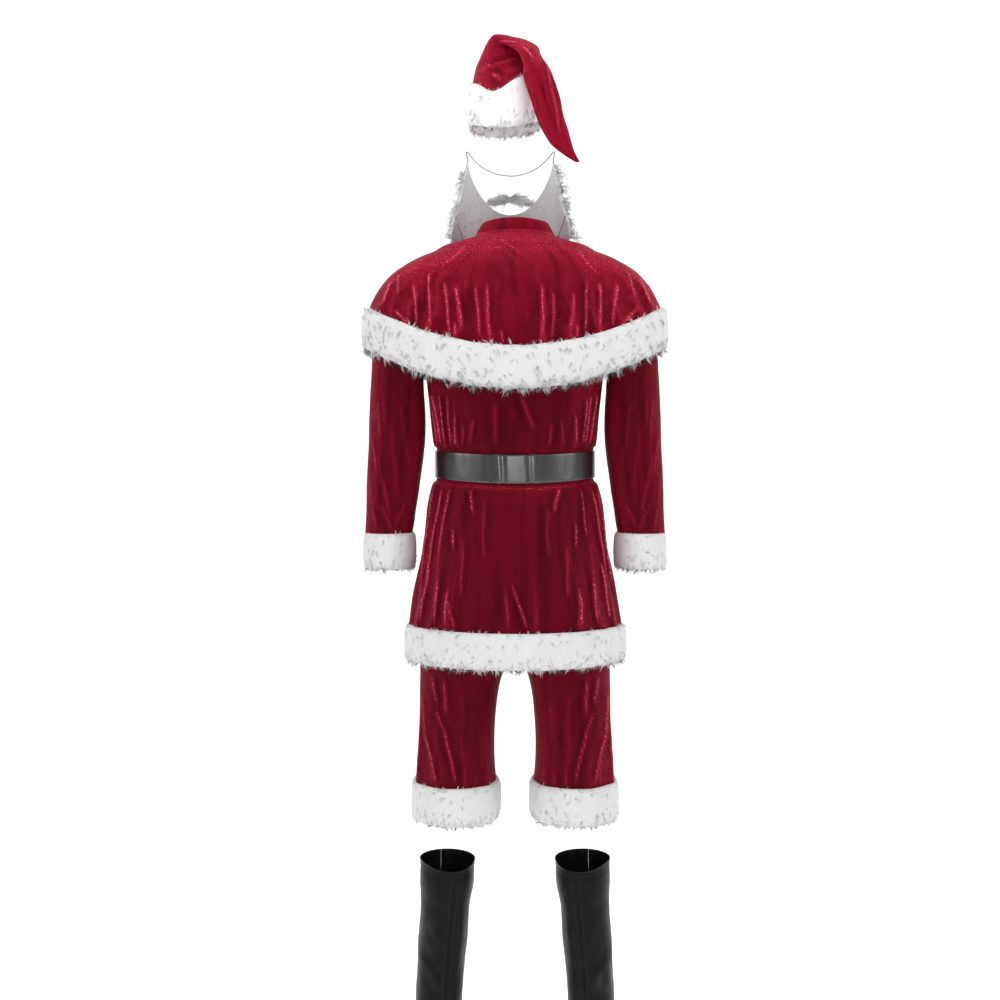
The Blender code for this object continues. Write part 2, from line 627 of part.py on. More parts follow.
def build_buckle(maker, face, face_out):
    """A rectangular frame that follows the strap's face, and the prong across it."""
    across = np.linspace(-0.5, 0.5, face.shape[1]) * BUCKLE["width"]
    middle = len(across) // 2
    depth_at = np.interp(across, face[0, :, 0], face[0, :, 1])
    top, bottom = face[0, middle, 2], face[1, middle, 2]
    bar, thick = BUCKLE["bar"], BUCKLE["thickness"]
    margin = bar * BUCKLE["overhang"]
    path = [(x, y, top + margin) for x, y in zip(across, depth_at)]
    path += [(x, y, bottom - margin) for x, y in zip(across[::-1], depth_at[::-1])]
    path = np.array(path)
    centre = np.array((0.0, 0.0, (top + bottom) / 2))
    wide, tall = BUCKLE["width"] / 2, (top - bottom) / 2 + margin
    inner = (path - centre) * np.array(((wide - bar) / wide, 1.0, (tall - bar) / tall)) + centre
    inner[:, 1] = np.interp(inner[:, 0], face[0, :, 0], face[0, :, 1])
    forward = np.array((0.0, -1.0, 0.0))
    back_face, front_face = forward * SEAT_GAP, forward * (SEAT_GAP + thick)
    loops = np.stack([path + back_face, path + front_face, inner + front_face, inner + back_face], axis=1)
    maker.loft("belt_buckle_frame", loops, "metal")

    half_bar = bar * BUCKLE["prong_height"]
    inner_wide = wide - bar
    bpy.ops.mesh.primitive_cube_add(size=1.0)
    cube = bpy.context.active_object
    front_y = face[0, middle, 1] - SEAT_GAP - thick / 2
    cube.name = "belt_buckle_prong"
    for vertex in cube.data.vertices:
        vertex.co.x *= 2 * inner_wide - 2 * SEAM_GAP
        vertex.co.y = vertex.co.y * thick * BUCKLE["prong_thickness"] + front_y
        vertex.co.z = vertex.co.z * 2 * half_bar + centre[2]
    cube.data.materials.append(make_material("belt_buckle_prong", "metal"))
    for holder in list(cube.users_collection):
        holder.objects.unlink(cube)
    maker.collection.objects.link(cube)


def trouser_surface(front):
    """One half leg and hip of the trousers: 0 at the outer side, pi at the inner or centre seam."""

    def surface(angle, row):
        angle, row = np.broadcast_arrays(np.asarray(angle, float), np.asarray(row, float))
        columns = np.moveaxis(smooth_rows(TROUSERS, row), -1, 0)
        z, dip, hip_width, hip_back, hip_front, outer, inner, leg_back, leg_front, share = columns
        side = -1.0 if front else 1.0
        hip_depth, leg_depth = (hip_front, leg_front) if front else (hip_back, leg_back)
        hip = np.stack([hip_width * np.cos(angle / 2), side * hip_depth * np.sin(angle / 2)], axis=-1)
        round_leg = 2 * math.pi - angle if front else angle
        lift = fold_height(LEG_FOLDS, round_leg, row)
        centre, radius = (outer + inner) / 2, (outer - inner) / 2
        leg = np.stack(
            [centre + (radius + lift) * np.cos(angle), side * (leg_depth + lift) * np.sin(angle)], axis=-1
        )
        share = share[..., None]
        flat = (1 - share) * hip + share * leg
        height = z - dip * np.sin(angle / 2) ** 2
        return np.concatenate([flat, height[..., None]], axis=-1)

    return surface


def build_trousers(maker, tunic):
    """Four panels from the waist to the knee, the waistband and the fur round both knees."""
    angles = torso_angles()[::2]
    rows = np.array((BELT_TOP_ROW, BELT_BOTTOM_ROW))
    angle_grid, row_grid = np.meshgrid(angles, rows)
    waist, out = tunic(angle_grid, row_grid), outward(tunic, angle_grid, row_grid)
    level = unit(out * np.array((1.0, 1.0, 0.0)))
    band = waist - level * (VELVET + SEAT_GAP)
    maker.loft("trouser_waistband", cloth_loops(band, level, WAISTBAND_THICKNESS), "velvet")

    half = LEG_COLUMNS // 2
    turn = np.linspace(0.0, math.pi, half + 1)
    down = np.arange(len(TROUSERS))
    turn_grid, row_grid = np.meshgrid(turn, down)
    hems, hem_outs = [], []
    for name, front in (("back", False), ("front", True)):
        surface = trouser_surface(front)
        outer, normal = surface(turn_grid, row_grid), outward(surface, turn_grid, row_grid)
        normal = -normal if front else normal
        loops = trim_sides(cloth_loops(outer, normal, VELVET))
        maker.loft(f"trouser_{name}_left", loops, "velvet", closed=False)
        maker.loft(f"trouser_{name}_right", mirrored(loops), "velvet", closed=False)
        hems.append(outer[-1])
        hem_outs.append(normal[-1])
    hem = np.concatenate([hems[0], hems[1][-2:0:-1]])
    hem_out = np.concatenate([hem_outs[0], hem_outs[1][-2:0:-1]])
    fur = fur_loops(hem, hem_out, VELVET, LEG_FUR["proud"], LEG_FUR["height"])
    maker.loft("knee_fur_left", fur, "fur")
    maker.loft("knee_fur_right", mirrored(fur), "fur")


def boot_surface(angle, row):
    """The left boot cover's outer points, turned out with the foot."""
    angle, row = np.broadcast_arrays(np.asarray(angle, float), np.asarray(row, float))
    z, dip, centre_x, half_width, back, front = np.moveaxis(smooth_rows(BOOT, row), -1, 0)
    sine, cosine = np.sin(angle), np.cos(angle)
    across, along = half_width * cosine, np.where(sine >= 0, back, front) * sine
    turned_x = across * math.cos(TOE_OUT) - along * math.sin(TOE_OUT)
    turned_y = across * math.sin(TOE_OUT) + along * math.cos(TOE_OUT)
    return np.stack([centre_x + turned_x, turned_y, z - dip * np.clip(sine, 0, 1) ** 2], axis=-1)


def build_boots(maker):
    """Two boot covers, each an inner and an outer panel with seams behind and in front."""
    quarter, half = math.pi / 2, math.pi
    down = np.arange(len(BOOT))
    for name, start in (("outer", -quarter), ("inner", quarter)):
        turn = start + np.linspace(0.0, half, LEG_COLUMNS // 2 + 1)
        turn_grid, row_grid = np.meshgrid(turn, down)
        outer = boot_surface(turn_grid, row_grid)
        normal = outward(boot_surface, turn_grid, row_grid)
        loops = trim_sides(cloth_loops(outer, normal, FAUX_LEATHER))
        maker.loft(f"boot_{name}_left", loops, "faux_leather", closed=False)
        maker.loft(f"boot_{name}_right", mirrored(loops), "faux_leather", closed=False)


def hat_surface(angle, row):
    """The hat's folded cone: 0 on its outer side, with the back of the head at a quarter turn."""
    angle, row = np.broadcast_arrays(np.asarray(angle, float), np.asarray(row, float))
    columns = np.moveaxis(smooth_rows(HAT, row), -1, 0)
    outer_x, outer_z, inner_x, inner_z, middle_y, depth, turned = columns
    share = (1 + np.cos(angle)) / 2
    dip = HAT_BACK_DIP * np.clip(1 - row / 2, 0, 1) * np.clip(np.sin(angle), 0, 1) ** 2
    return np.stack(
        [
            inner_x + (outer_x - inner_x) * share + depth * turned * np.sin(angle),
            middle_y + depth * np.sqrt(1 - turned**2) * np.sin(angle),
            inner_z + (outer_z - inner_z) * share - dip,
        ],
        axis=-1,
    )


def build_hat(maker):
    """The cone's back and front halves, and the fur band round the head."""
    half = HAT_COLUMNS // 2
    rows = np.arange(len(HAT))
    for name, start in (("hat_back", 0.0), ("hat_front", math.pi)):
        turn = start + np.linspace(0.0, math.pi, half + 1)
        turn_grid, row_grid = np.meshgrid(turn, rows)
        outer = hat_surface(turn_grid, row_grid)
        normal = -outward(hat_surface, turn_grid, row_grid)
        half_depths = np.array([ring.half_depth for ring in HAT])[:, None, None]
        thickness = np.minimum(HAT_VELVET, half_depths * HAT_TIP_WALL)
        loops = trim_sides(cloth_loops(outer, normal, thickness))
        maker.loft(name, loops, "velvet", closed=False)
    turn = np.arange(HAT_COLUMNS) * 2 * math.pi / HAT_COLUMNS
    edge, out = hat_surface(turn, 0.0), -outward(hat_surface, turn, 0.0)
    band = fur_loops(edge, out, HAT_VELVET, HAT_FUR["proud"], HAT_FUR["height"])
    maker.loft("hat_fur_band", band, "fur")


def beard_surface(angle, row):
    """The beard's backing, from the left ear round the chin to the right ear."""
    angle, row = np.broadcast_arrays(np.asarray(angle, float), np.asarray(row, float))
    ear_z, half_width, chin_z, depth, _ = np.moveaxis(smooth_rows(BEARD, row), -1, 0)
    centre_x, centre_y = BEARD_CENTRE
    return np.stack(
        [
            centre_x + half_width * np.cos(angle),
            centre_y - depth * np.sin(angle),
            ear_z + (chin_z - ear_z) * np.abs(np.sin(angle)) ** BEARD_SWEEP,
        ],
        axis=-1,
    )


def build_beard(maker):
    """The beard's backing, the curly hair on it, and the moustache above the mouth's opening."""
    turn = np.linspace(*BEARD_ARC, BEARD_COLUMNS + 1)
    rows = np.arange(len(BEARD))
    turn_grid, row_grid = np.meshgrid(turn, rows)
    outer = beard_surface(turn_grid, row_grid)
    normal = -outward(beard_surface, turn_grid, row_grid)
    backing = cloth_loops(outer[:BEARD_BACKING_ROWS], normal[:BEARD_BACKING_ROWS], BEARD_BACKING)
    maker.loft("beard_backing", backing, "elastic", closed=False)

    fullness = np.array([level.fullness for level in BEARD])[:, None]
    spread = np.sin(turn)[None, :] ** 2
    depth = BEARD_EAR_THICKNESS + (BEARD_CHIN_THICKNESS - BEARD_EAR_THICKNESS) * spread
    thickness = (depth * fullness)[..., None]
    hair = cloth_loops(outer + normal * (SEAM_GAP + thickness), normal, thickness)
    maker.loft("beard_hair", hair, "fur", closed=False)
    build_moustache(maker)


def build_moustache(maker):
    """Two drooping lobes over the upper lip, as one tapered roll."""
    centre_x, centre_y = BEARD_CENTRE
    half, drop, thin_end = MOUSTACHE["half_width"], MOUSTACHE["droop"], MOUSTACHE["thin_end"]
    span = np.linspace(-1.0, 1.0, BEARD_COLUMNS)
    turn = np.arange(8) * 2 * math.pi / 8
    loops = []
    for share in span:
        lobe = math.sin(math.pi * min(abs(share) + MOUSTACHE["lobe_shift"], 1.0))
        swell = MOUSTACHE["radius"] * (thin_end + (1 - thin_end) * lobe)
        middle = np.array(
            (
                centre_x + half * share,
                centre_y - MOUSTACHE["stand_off"] * math.sqrt(1 - MOUSTACHE["wrap"] * share**2),
                MOUSTACHE["z"] - drop * share**2,
            )
        )
        ring = np.stack([0 * turn, np.cos(turn) * swell, np.sin(turn) * swell], axis=-1)
        loops.append(middle + ring)
    maker.loft("beard_moustache", np.array(loops), "fur", closed=False)


def curve_points(route, spacing):
    """Evenly spaced points on a smooth curve through a route's own points."""
    fine = smooth_rows(route, np.linspace(0, len(route) - 1, FINE_STEPS * len(route)))
    steps = np.linalg.norm(np.diff(fine, axis=0), axis=1)
    travelled = np.concatenate([[0.0], np.cumsum(steps)])
    count = int(round(travelled[-1] / spacing)) + 1
    wanted = np.linspace(0, travelled[-1], count)
    return np.stack([np.interp(wanted, travelled, fine[:, axis]) for axis in range(3)], axis=-1)


def build_elastic(maker):
    """The round elastic that goes behind the head, between the beard's upper corners."""
    points = curve_points(ELASTIC_ROUTE, 3 * ELASTIC_DIAMETER)
    curve = bpy.data.curves.new("beard_elastic", "CURVE")
    curve.dimensions = "3D"
    curve.bevel_depth = ELASTIC_DIAMETER / 2
    curve.bevel_resolution = 2
    curve.use_fill_caps = True
    spline = curve.splines.new("POLY")
    spline.points.add(len(points) - 1)
    for target, point in zip(spline.points, points):
        target.co = (*Vector(point), 1.0)
    curve.materials.append(make_material("beard_elastic", "elastic"))
    maker.collection.objects.link(bpy.data.objects.new("beard_elastic", curve))


def main():
    """Build the whole suit."""
    clear_scene()
    maker = Builder(make_collection())
    tunic = tunic_surface()
    build_tunic(maker, tunic)
    build_sleeves(maker, tunic)
    build_cape(maker, tunic)
    build_belt(maker, tunic)
    build_trousers(maker, tunic)
    build_boots(maker)
    build_hat(maker)
    build_beard(maker)
    build_elastic(maker)


main()
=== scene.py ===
"""Dress the costume suit: crushed velvet, long fur, a curled beard, faux leather and metal.

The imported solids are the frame. Each garment here stands on the same tables of sizes as its
solids, ringed more finely, and carries the folds and creases of worn cloth. Metres, +Z up:
the wearer faces -Y, and the origin is on the body's axis at the base of the neck. The tables
that go through in_metres are written in millimetres.
"""
from __future__ import annotations

import logging
import math
from dataclasses import dataclass, field
from enum import Enum
from typing import Any, Callable, NamedTuple, Sequence

import bmesh
import bpy
import numpy as np
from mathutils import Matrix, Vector, noise

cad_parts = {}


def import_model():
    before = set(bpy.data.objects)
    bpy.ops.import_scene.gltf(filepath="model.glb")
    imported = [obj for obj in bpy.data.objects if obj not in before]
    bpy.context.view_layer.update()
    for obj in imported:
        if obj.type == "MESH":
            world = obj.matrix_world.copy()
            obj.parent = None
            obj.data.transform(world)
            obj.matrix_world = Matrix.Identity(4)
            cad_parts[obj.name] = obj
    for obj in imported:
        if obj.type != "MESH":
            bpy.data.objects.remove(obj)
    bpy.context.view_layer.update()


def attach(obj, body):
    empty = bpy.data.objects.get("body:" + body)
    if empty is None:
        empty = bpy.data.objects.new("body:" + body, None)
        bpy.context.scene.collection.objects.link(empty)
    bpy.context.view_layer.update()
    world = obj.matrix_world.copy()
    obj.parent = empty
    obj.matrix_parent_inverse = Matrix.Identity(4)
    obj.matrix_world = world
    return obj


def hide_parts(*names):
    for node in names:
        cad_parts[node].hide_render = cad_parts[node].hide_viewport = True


LOG = logging.getLogger("costume_suit")
SEAM_GAP = 0.0003
SEAT_GAP = 0.0005
VELVET_WALL = 0.0020
STITCH_SIZES = {"Pitch": 0.0042, "Length": 0.0030, "Thread": 0.0008}
TURN = 2 * math.pi

Array = np.ndarray
Surface = Callable[[Array, Array], Array]
Edge = Callable[[Array], Array]
Pair = tuple[float, float]
Triple = tuple[float, float, float]
Object, Mesh, Material = bpy.types.Object, bpy.types.Mesh, bpy.types.Material
Node, Socket, Tree = bpy.types.Node, bpy.types.NodeSocket, bpy.types.NodeTree


class Level(NamedTuple):
    """One ring round the body: its height, and its reach at the side, the back and the front."""

    side_z: float
    half_width: float
    back_z: float
    back_depth: float
    front_z: float
    front_depth: float


class Fold(NamedTuple):
    """One fold: where it is round the body, how wide and deep, and the rows it grows between."""

    angle: float
    spread: float
    depth: float
    starts: float
    full: float


class Crease(NamedTuple):
    """One crease seen from behind: its two ends, how wide and high it is, and its sideways bow.

    A height below zero makes a trough.
    """

    x0: float
    z0: float
    x1: float
    z1: float
    width: float
    height: float
    bow: float


class Swell(NamedTuple):
    """One layer of a cloth's unevenness: its depth, its noise cells in a metre and its own shift."""

    depth: float
    cells: Triple
    shift: float = 0.0


class Slot(Enum):
    """The record's material slots."""

    VELVET = "velvet"
    FUR = "fur"
    BEARD_HAIR = "beard_hair"
    BEARD_CLOTH = "beard_cloth"
    ELASTIC = "elastic"
    FAUX_LEATHER = "faux_leather"
    BUCKLE = "buckle"


class Held(Enum):
    """How a sheet of cloth is held."""

    DRAPED = "draped"
    HUNG = "hung"
    STRETCHED = "stretched"


def unit(vectors: Array) -> Array:
    """Scale vectors to length one."""
    return vectors / np.maximum(np.linalg.norm(vectors, axis=-1, keepdims=True), 1e-12)


def smoothstep(value: Array, low: float, high: float) -> Array:
    """Rise softly from 0 at low to 1 at high."""
    t = np.clip((np.asarray(value, float) - low) / (high - low), 0.0, 1.0)
    return t * t * (3 - 2 * t)


def smooth_rows(table: Sequence | Array, row: Array | float) -> Array:
    """Read a table at fractional row numbers, on a Catmull-Rom curve through its rows.

    Args:
        table: One row of numbers, or of an array of points, for each whole row number.
        row: The row numbers wanted.

    Returns:
        The interpolated rows, in the shape of row and then that of a table row.
    """
    values = np.array(table, dtype=float)
    last = len(values) - 1
    row = np.clip(np.asarray(row, dtype=float), 0.0, last)
    low = np.clip(np.floor(row).astype(int), 0, last - 1)
    t = (row - low).reshape(row.shape + (1,) * (values.ndim - 1))
    before, start = values[np.maximum(low - 1, 0)], values[low]
    end, after = values[low + 1], values[np.minimum(low + 2, last)]
    return 0.5 * (
        2 * start
        + (end - before) * t
        + (2 * before - 5 * start + 4 * end - after) * t**2
        + (3 * start - before - 3 * end + after) * t**3
    )


def straight_rows(table: Sequence | Array, row: Array) -> Array:
    """Read a table at fractional row numbers, on straight lines between its rows."""
    values = np.array(table, dtype=float)
    row = np.clip(np.asarray(row, dtype=float), 0.0, len(values) - 1)
    low = np.clip(np.floor(row).astype(int), 0, len(values) - 2)
    t = (row - low).reshape(row.shape + (1,) * (values.ndim - 1))
    return values[low] * (1 - t) + values[low + 1] * t


def spread_rows(last: int, steps: int) -> Array:
    """Whole row numbers from 0 to last with a number of steps between each two."""
    return np.linspace(0.0, last, last * steps + 1)


def make_outward(mesh: Mesh) -> None:
    """Turn the faces of closed pieces to face outwards."""
    shape = bmesh.new()
    shape.from_mesh(mesh)
    bmesh.ops.recalc_face_normals(shape, faces=shape.faces)
    shape.to_mesh(mesh)
    shape.free()


def put(name: str, data: bpy.types.ID) -> Object:
    """Put a mesh, curve, lamp or camera into the scene."""
    item = bpy.data.objects.new(name, data)
    bpy.context.scene.collection.objects.link(item)
    return item


def set_inputs(node: Node, values: dict[str, Any]) -> None:
    """Set a node's own values by their names."""
    for label, value in values.items():
        node.inputs[label].default_value = value


def store(mesh: Mesh, label: str, values: Any, kind: str = "FLOAT") -> None:
    """Keep a number, or a direction, for each point of a mesh."""
    held_as = "value" if kind == "FLOAT" else "vector"
    mesh.attributes.new(label, kind, "POINT").data.foreach_set(held_as, np.ravel(values))


def wrapped_mesh(name: str, rings: Array) -> Mesh:
    """Skin rows of points, closed both ways, into a smooth mesh.

    Args:
        name: The mesh's name.
        rings: The points, in rows and columns.

    Returns:
        The mesh, with its faces outwards.
    """
    rows, columns = rings.shape[:2]
    row, column = np.meshgrid(np.arange(rows), np.arange(columns), indexing="ij")
    row, column = row.reshape(-1), column.reshape(-1)
    here, below, beside = row * columns, (row + 1) % rows * columns, (column + 1) % columns
    faces = np.stack([here + column, below + column, below + beside, here + beside], axis=1)
    mesh = bpy.data.meshes.new(name)
    mesh.from_pydata(rings.reshape(-1, 3).tolist(), [], faces.tolist())
    mesh.shade_smooth()
    make_outward(mesh)
    return mesh


def in_metres(kind: type, *rows: tuple[float, ...], shares: int = 0) -> tuple:
    """Make a table whose lengths are written in millimetres.

    Args:
        kind: What each row is.
        *rows: The numbers of each row.
        shares: How many numbers at a row's end are shares instead of lengths.

    Returns:
        The rows, with their lengths in metres.
    """
    lengths = len(kind._fields) - shares
    return tuple(kind(*(number / 1000 for number in row[:lengths]), *row[lengths:]) for row in rows)


def levelled(vectors: Array) -> Array:
    """Turn vectors level and scale them to length one."""
    return unit(vectors * np.array((1.0, 1.0, 0.0)))


def noise_field(points: Array, scale: Triple, seed: float) -> Array:
    """Soft noise from -1 to 1 at each point.

    Args:
        points: Points in metres.
        scale: How many noise cells there are in a metre along each axis.
        seed: A shift that gives each use its own pattern.

    Returns:
        One value for each point.
    """
    flat = points.reshape(-1, 3) * np.array(scale) + seed
    values = [noise.noise(Vector(point)) for point in flat]
    return np.array(values).reshape(points.shape[:-1])


@dataclass(frozen=True)
class BodySurface:
    """A garment's outer surface round the body, from its levels and its folds."""

    levels: tuple[Level, ...]
    folds: tuple[Fold, ...] = ()
    fade_from: float = 1e3
    fade_to: float = 1e3 + 1

    def growth(self, fold: Fold, row: Array) -> Array:
        """How far a fold has grown at each row, with its fading at the end."""
        grown = smoothstep(row, fold.starts, fold.full)
        return grown * (1 - smoothstep(row, self.fade_from, self.fade_to))

    def away(self, fold: Fold, angle: Array, row: Array) -> Array:
        """Degrees from a fold's line, which wanders a little on its way down."""
        wander = 1.1 * np.sin(row * 2.3 + fold.angle) + 0.5 * np.sin(row * 5.1 + 2 * fold.angle)
        away = np.degrees(angle) - fold.angle - wander
        return (away + 180.0) % 360.0 - 180.0

    def relief(self, angle: Array, row: Array) -> Array:
        """How far the folds stand out."""
        height = np.zeros(angle.shape)
        for fold in self.folds:
            bump = np.exp(-((self.away(fold, angle, row) / fold.spread) ** 2))
            height += fold.depth * self.growth(fold, row) * bump
        return height

    def crests(self, angle: Array, row: Array) -> Array:
        """A mask from 0 to 1 that is high along the ridge of each fold, for painted highlight."""
        mask = np.zeros(angle.shape)
        for fold in self.folds:
            line = np.exp(-((self.away(fold, angle, row) / (0.24 * fold.spread)) ** 2))
            mask = np.maximum(mask, self.growth(fold, row) * line * min(1.0, fold.depth / 0.004))
        return mask

    def hollows(self, angle: Array, row: Array) -> Array:
        """A mask from 0 to 1 that is high in the dips on both sides of each fold, for painted shade."""
        mask = np.zeros(angle.shape)
        for fold in self.folds:
            beside = (np.abs(self.away(fold, angle, row)) - 1.15 * fold.spread) / (0.55 * fold.spread)
            strength = self.growth(fold, row) * np.exp(-(beside**2))
            mask = np.maximum(mask, strength * min(1.0, fold.depth / 0.005))
        return mask

    def __call__(self, angle: Array, row: Array) -> Array:
        """Outer points at angles round the body, in radians, and rows down it."""
        angle, row = np.broadcast_arrays(np.asarray(angle, float), np.asarray(row, float))
        side_z, width, back_z, back, front_z, front = np.moveaxis(smooth_rows(self.levels, row), -1, 0)
        sine, cosine = np.sin(angle), np.cos(angle)
        depth = np.where(sine >= 0, back, front)
        middle_z = np.where(sine >= 0, back_z, front_z)
        out_x, out_y = cosine / width, sine / depth
        lift = self.relief(angle, row) / np.hypot(out_x, out_y)
        across, along = width * cosine + out_x * lift, depth * sine + out_y * lift
        return np.stack([across, along, side_z + (middle_z - side_z) * sine**2], axis=-1)


def outward(surface: Surface, angle: Array, row: Array) -> Array:
    """Unit normals of a surface whose angle runs anticlockwise from above and rows run down."""
    step = 1e-3
    round_it = surface(angle + step, row) - surface(angle - step, row)
    down_it = surface(angle, row + step) - surface(angle, row - step)
    return unit(np.cross(down_it, round_it))


class Masks(NamedTuple):
    """What a cloth's material reads from its mesh: painted highlight on fold ridges, painted shade beside
    them, painted highlight on sides and top.
    """

    crest: Array
    hollow: Array
    crush: Array


@dataclass
class ClothGrid:
    """The outer points of one cut piece, in rows and columns.

    Rows run down and columns anticlockwise from above; a flipped piece has one of them the other
    way. The last column of a closed piece repeats its first, so that its map can run right round.
    """

    points: Array
    closed: bool = False
    flipped: bool = False
    # How much painted highlight the cloth's sides and top get.
    crushing: float = 1.0
    crest: Array = field(init=False)
    hollow: Array = field(init=False)

    def __post_init__(self) -> None:
        """Start with no painted highlight or painted shade anywhere."""
        self.crest = np.zeros(self.points.shape[:2])
        self.hollow = np.zeros(self.points.shape[:2])

    def normals(self) -> Array:
        """Unit normals out of the cloth, worked out across its rows and columns."""
        down = np.gradient(self.points, axis=0)
        if self.closed:
            ring = self.points[:, :-1]
            round_it = np.roll(ring, -1, axis=1) - np.roll(ring, 1, axis=1)
            round_it = np.concatenate([round_it, round_it[:, :1]], axis=1)
        else:
            round_it = np.gradient(self.points, axis=1)
        out = unit(np.cross(down, round_it))
        return -out if self.flipped else out

    def raise_by(self, height: Array) -> None:
        """Move the cloth out along its normals."""
        self.points = self.points + self.normals() * height[..., None]

    def crease(
        self, creases: Sequence[Crease], behind: bool = True, mirrored: bool = False, drop: float = 0.0
    ) -> None:
        """Raise creases on the side of the cloth that faces backwards, or forwards.

        Args:
            creases: The creases, placed by x and z.
            behind: Whether they lie on the cloth's back or on its front.
            mirrored: Whether they are used the other way round, left for right.
            drop: How much lower they lie than their table says.
        """
        normals = self.normals()
        sign, turn = (1.0 if behind else -1.0), (-1.0 if mirrored else 1.0)
        facing = smoothstep(sign * normals[..., 1], 0.12, 0.40)
        x, z = self.points[..., 0] * turn, self.points[..., 2] + drop
        height = np.zeros(x.shape)
        for number, crease in enumerate(creases):
            run = np.array((crease.x1 - crease.x0, crease.z1 - crease.z0))
            length = float(np.hypot(*run))
            along = ((x - crease.x0) * run[0] + (z - crease.z0) * run[1]) / length**2
            across = ((x - crease.x0) * run[1] - (z - crease.z0) * run[0]) / length
            inside = np.clip(along, 0.0, 1.0)
            across = across - crease.bow * 4 * inside * (1 - inside)
            across = across + 0.22 * crease.width * np.sin(inside * length / 0.014 + number * 1.7)
            taper = smoothstep(along, 0.0, 0.14) * (1 - smoothstep(along, 0.80, 1.0)) * facing
            ridge = np.exp(-((across / crease.width) ** 2))
            troughs = np.exp(-(((np.abs(across) - 2.1 * crease.width) / (1.3 * crease.width)) ** 2))
            height += crease.height * taper * (ridge - 0.4 * troughs)
            strength = taper * min(1.0, abs(crease.height) / 0.0018)
            # A ridge gets painted highlight along its top and painted shade in the troughs beside it; a
            # trough gets painted shade.
            if crease.height > 0:
                line = np.exp(-((across / max(0.50 * crease.width, 0.0017)) ** 2))
                self.crest = np.maximum(self.crest, strength * line)
                self.hollow = np.maximum(self.hollow, strength * troughs)
            else:
                self.hollow = np.maximum(self.hollow, strength * ridge)
        self.raise_by(height)

    def crumple(self, layers: Sequence[Swell], seed: float, weight: Array | float = 1.0) -> None:
        """Give the cloth a soft unevenness.

        Args:
            layers: Its layers, raised one after the other.
            seed: The pattern's own shift.
            weight: How much of it each place gets.
        """
        for depth, cells, shift in layers:
            broad = noise_field(self.points, cells, seed + shift)
            fine = noise_field(self.points, tuple(2.3 * number for number in cells), seed + shift + 7.0)
            self.raise_by(depth * (broad + 0.45 * fine) * weight)

    def press_seam(self, at_start: bool, at_end: bool, depth: float = 0.0011, reach: float = 0.007) -> None:
        """Sink the cloth towards the seams at its first and last columns."""
        steps = np.linalg.norm(np.diff(self.points, axis=1), axis=-1)
        run = np.concatenate([np.zeros((len(steps), 1)), np.cumsum(steps, axis=1)], axis=1)
        sink = np.zeros(run.shape)
        if at_start:
            sink += np.exp(-((run / reach) ** 2))
        if at_end:
            sink += np.exp(-(((run[:, -1:] - run) / reach) ** 2))
        self.raise_by(-depth * sink)

    def trim(self) -> None:
        """Draw the first and last columns in by half the seam gap each."""
        points = self.points.copy()
        points[:, 0] += unit(self.points[:, 1] - self.points[:, 0]) * SEAM_GAP / 2
        points[:, -1] += unit(self.points[:, -2] - self.points[:, -1]) * SEAM_GAP / 2
        self.points = points

    def mirrored(self) -> "ClothGrid":
        """The same piece for the other side of the body, with its columns in the same sense."""
        other = ClothGrid(self.points[:, ::-1] * np.array((-1.0, 1.0, 1.0)), self.closed, self.flipped)
        other.crest, other.hollow = self.crest[:, ::-1], self.hollow[:, ::-1]
        return other

    def cloth_map(self) -> Array:
        """Metres across and down the cloth, from its first corner."""
        down = np.linalg.norm(np.diff(self.points, axis=0), axis=-1)
        down = np.concatenate([np.zeros((1, down.shape[1])), np.cumsum(down, axis=0)], axis=0)
        across = np.linalg.norm(np.diff(self.points, axis=1), axis=-1).mean(axis=0)
        across = np.concatenate([[0.0], np.cumsum(across)])
        return np.stack([np.broadcast_to(across, down.shape), down], axis=-1)

    def crushed(self) -> Array:
        """A mask for painted highlight where the cloth turns sideways and on top, in random patches."""
        normals = self.normals()
        sideways = smoothstep(np.abs(normals[..., 0]), 0.30, 0.85)
        on_top = smoothstep(normals[..., 2], 0.22, 0.75)
        patches = 0.5 + 0.5 * noise_field(self.points, (13.0, 13.0, 8.0), 3.0)
        turned = self.crushing * np.maximum(0.7 * sideways, 1.3 * on_top)
        return np.clip(turned * (0.35 + 0.95 * patches), 0.0, 1.0)

    def build(self, name: str, wall: float | Array) -> Object:
        """Make the piece as one closed wall.

        Args:
            name: The node that it stands for, from which it is named.
            wall: The wall's thickness, as one number or one for each row.

        Returns:
            The new object, with its cloth map and its masks.
        """
        rows, columns = self.points.shape[:2]
        normals, masks = self.normals(), Masks(self.crest, self.hollow, self.crushed())
        wall = np.broadcast_to(np.asarray(wall, float).reshape(-1, 1, 1), (rows, 1, 1))
        layers = np.stack([self.points, self.points - normals * wall])
        kept = columns - 1 if self.closed else columns
        layer, row, column = np.meshgrid(np.arange(2), np.arange(rows), np.arange(columns), indexing="ij")
        number = ((layer * rows + row) * kept + column % kept).reshape(-1)

        def corner(on_layer: int, at_row: Array, at_column: Array) -> Array:
            """Grid numbers of corners."""
            return ((on_layer * rows + at_row) * columns + at_column).reshape(-1)

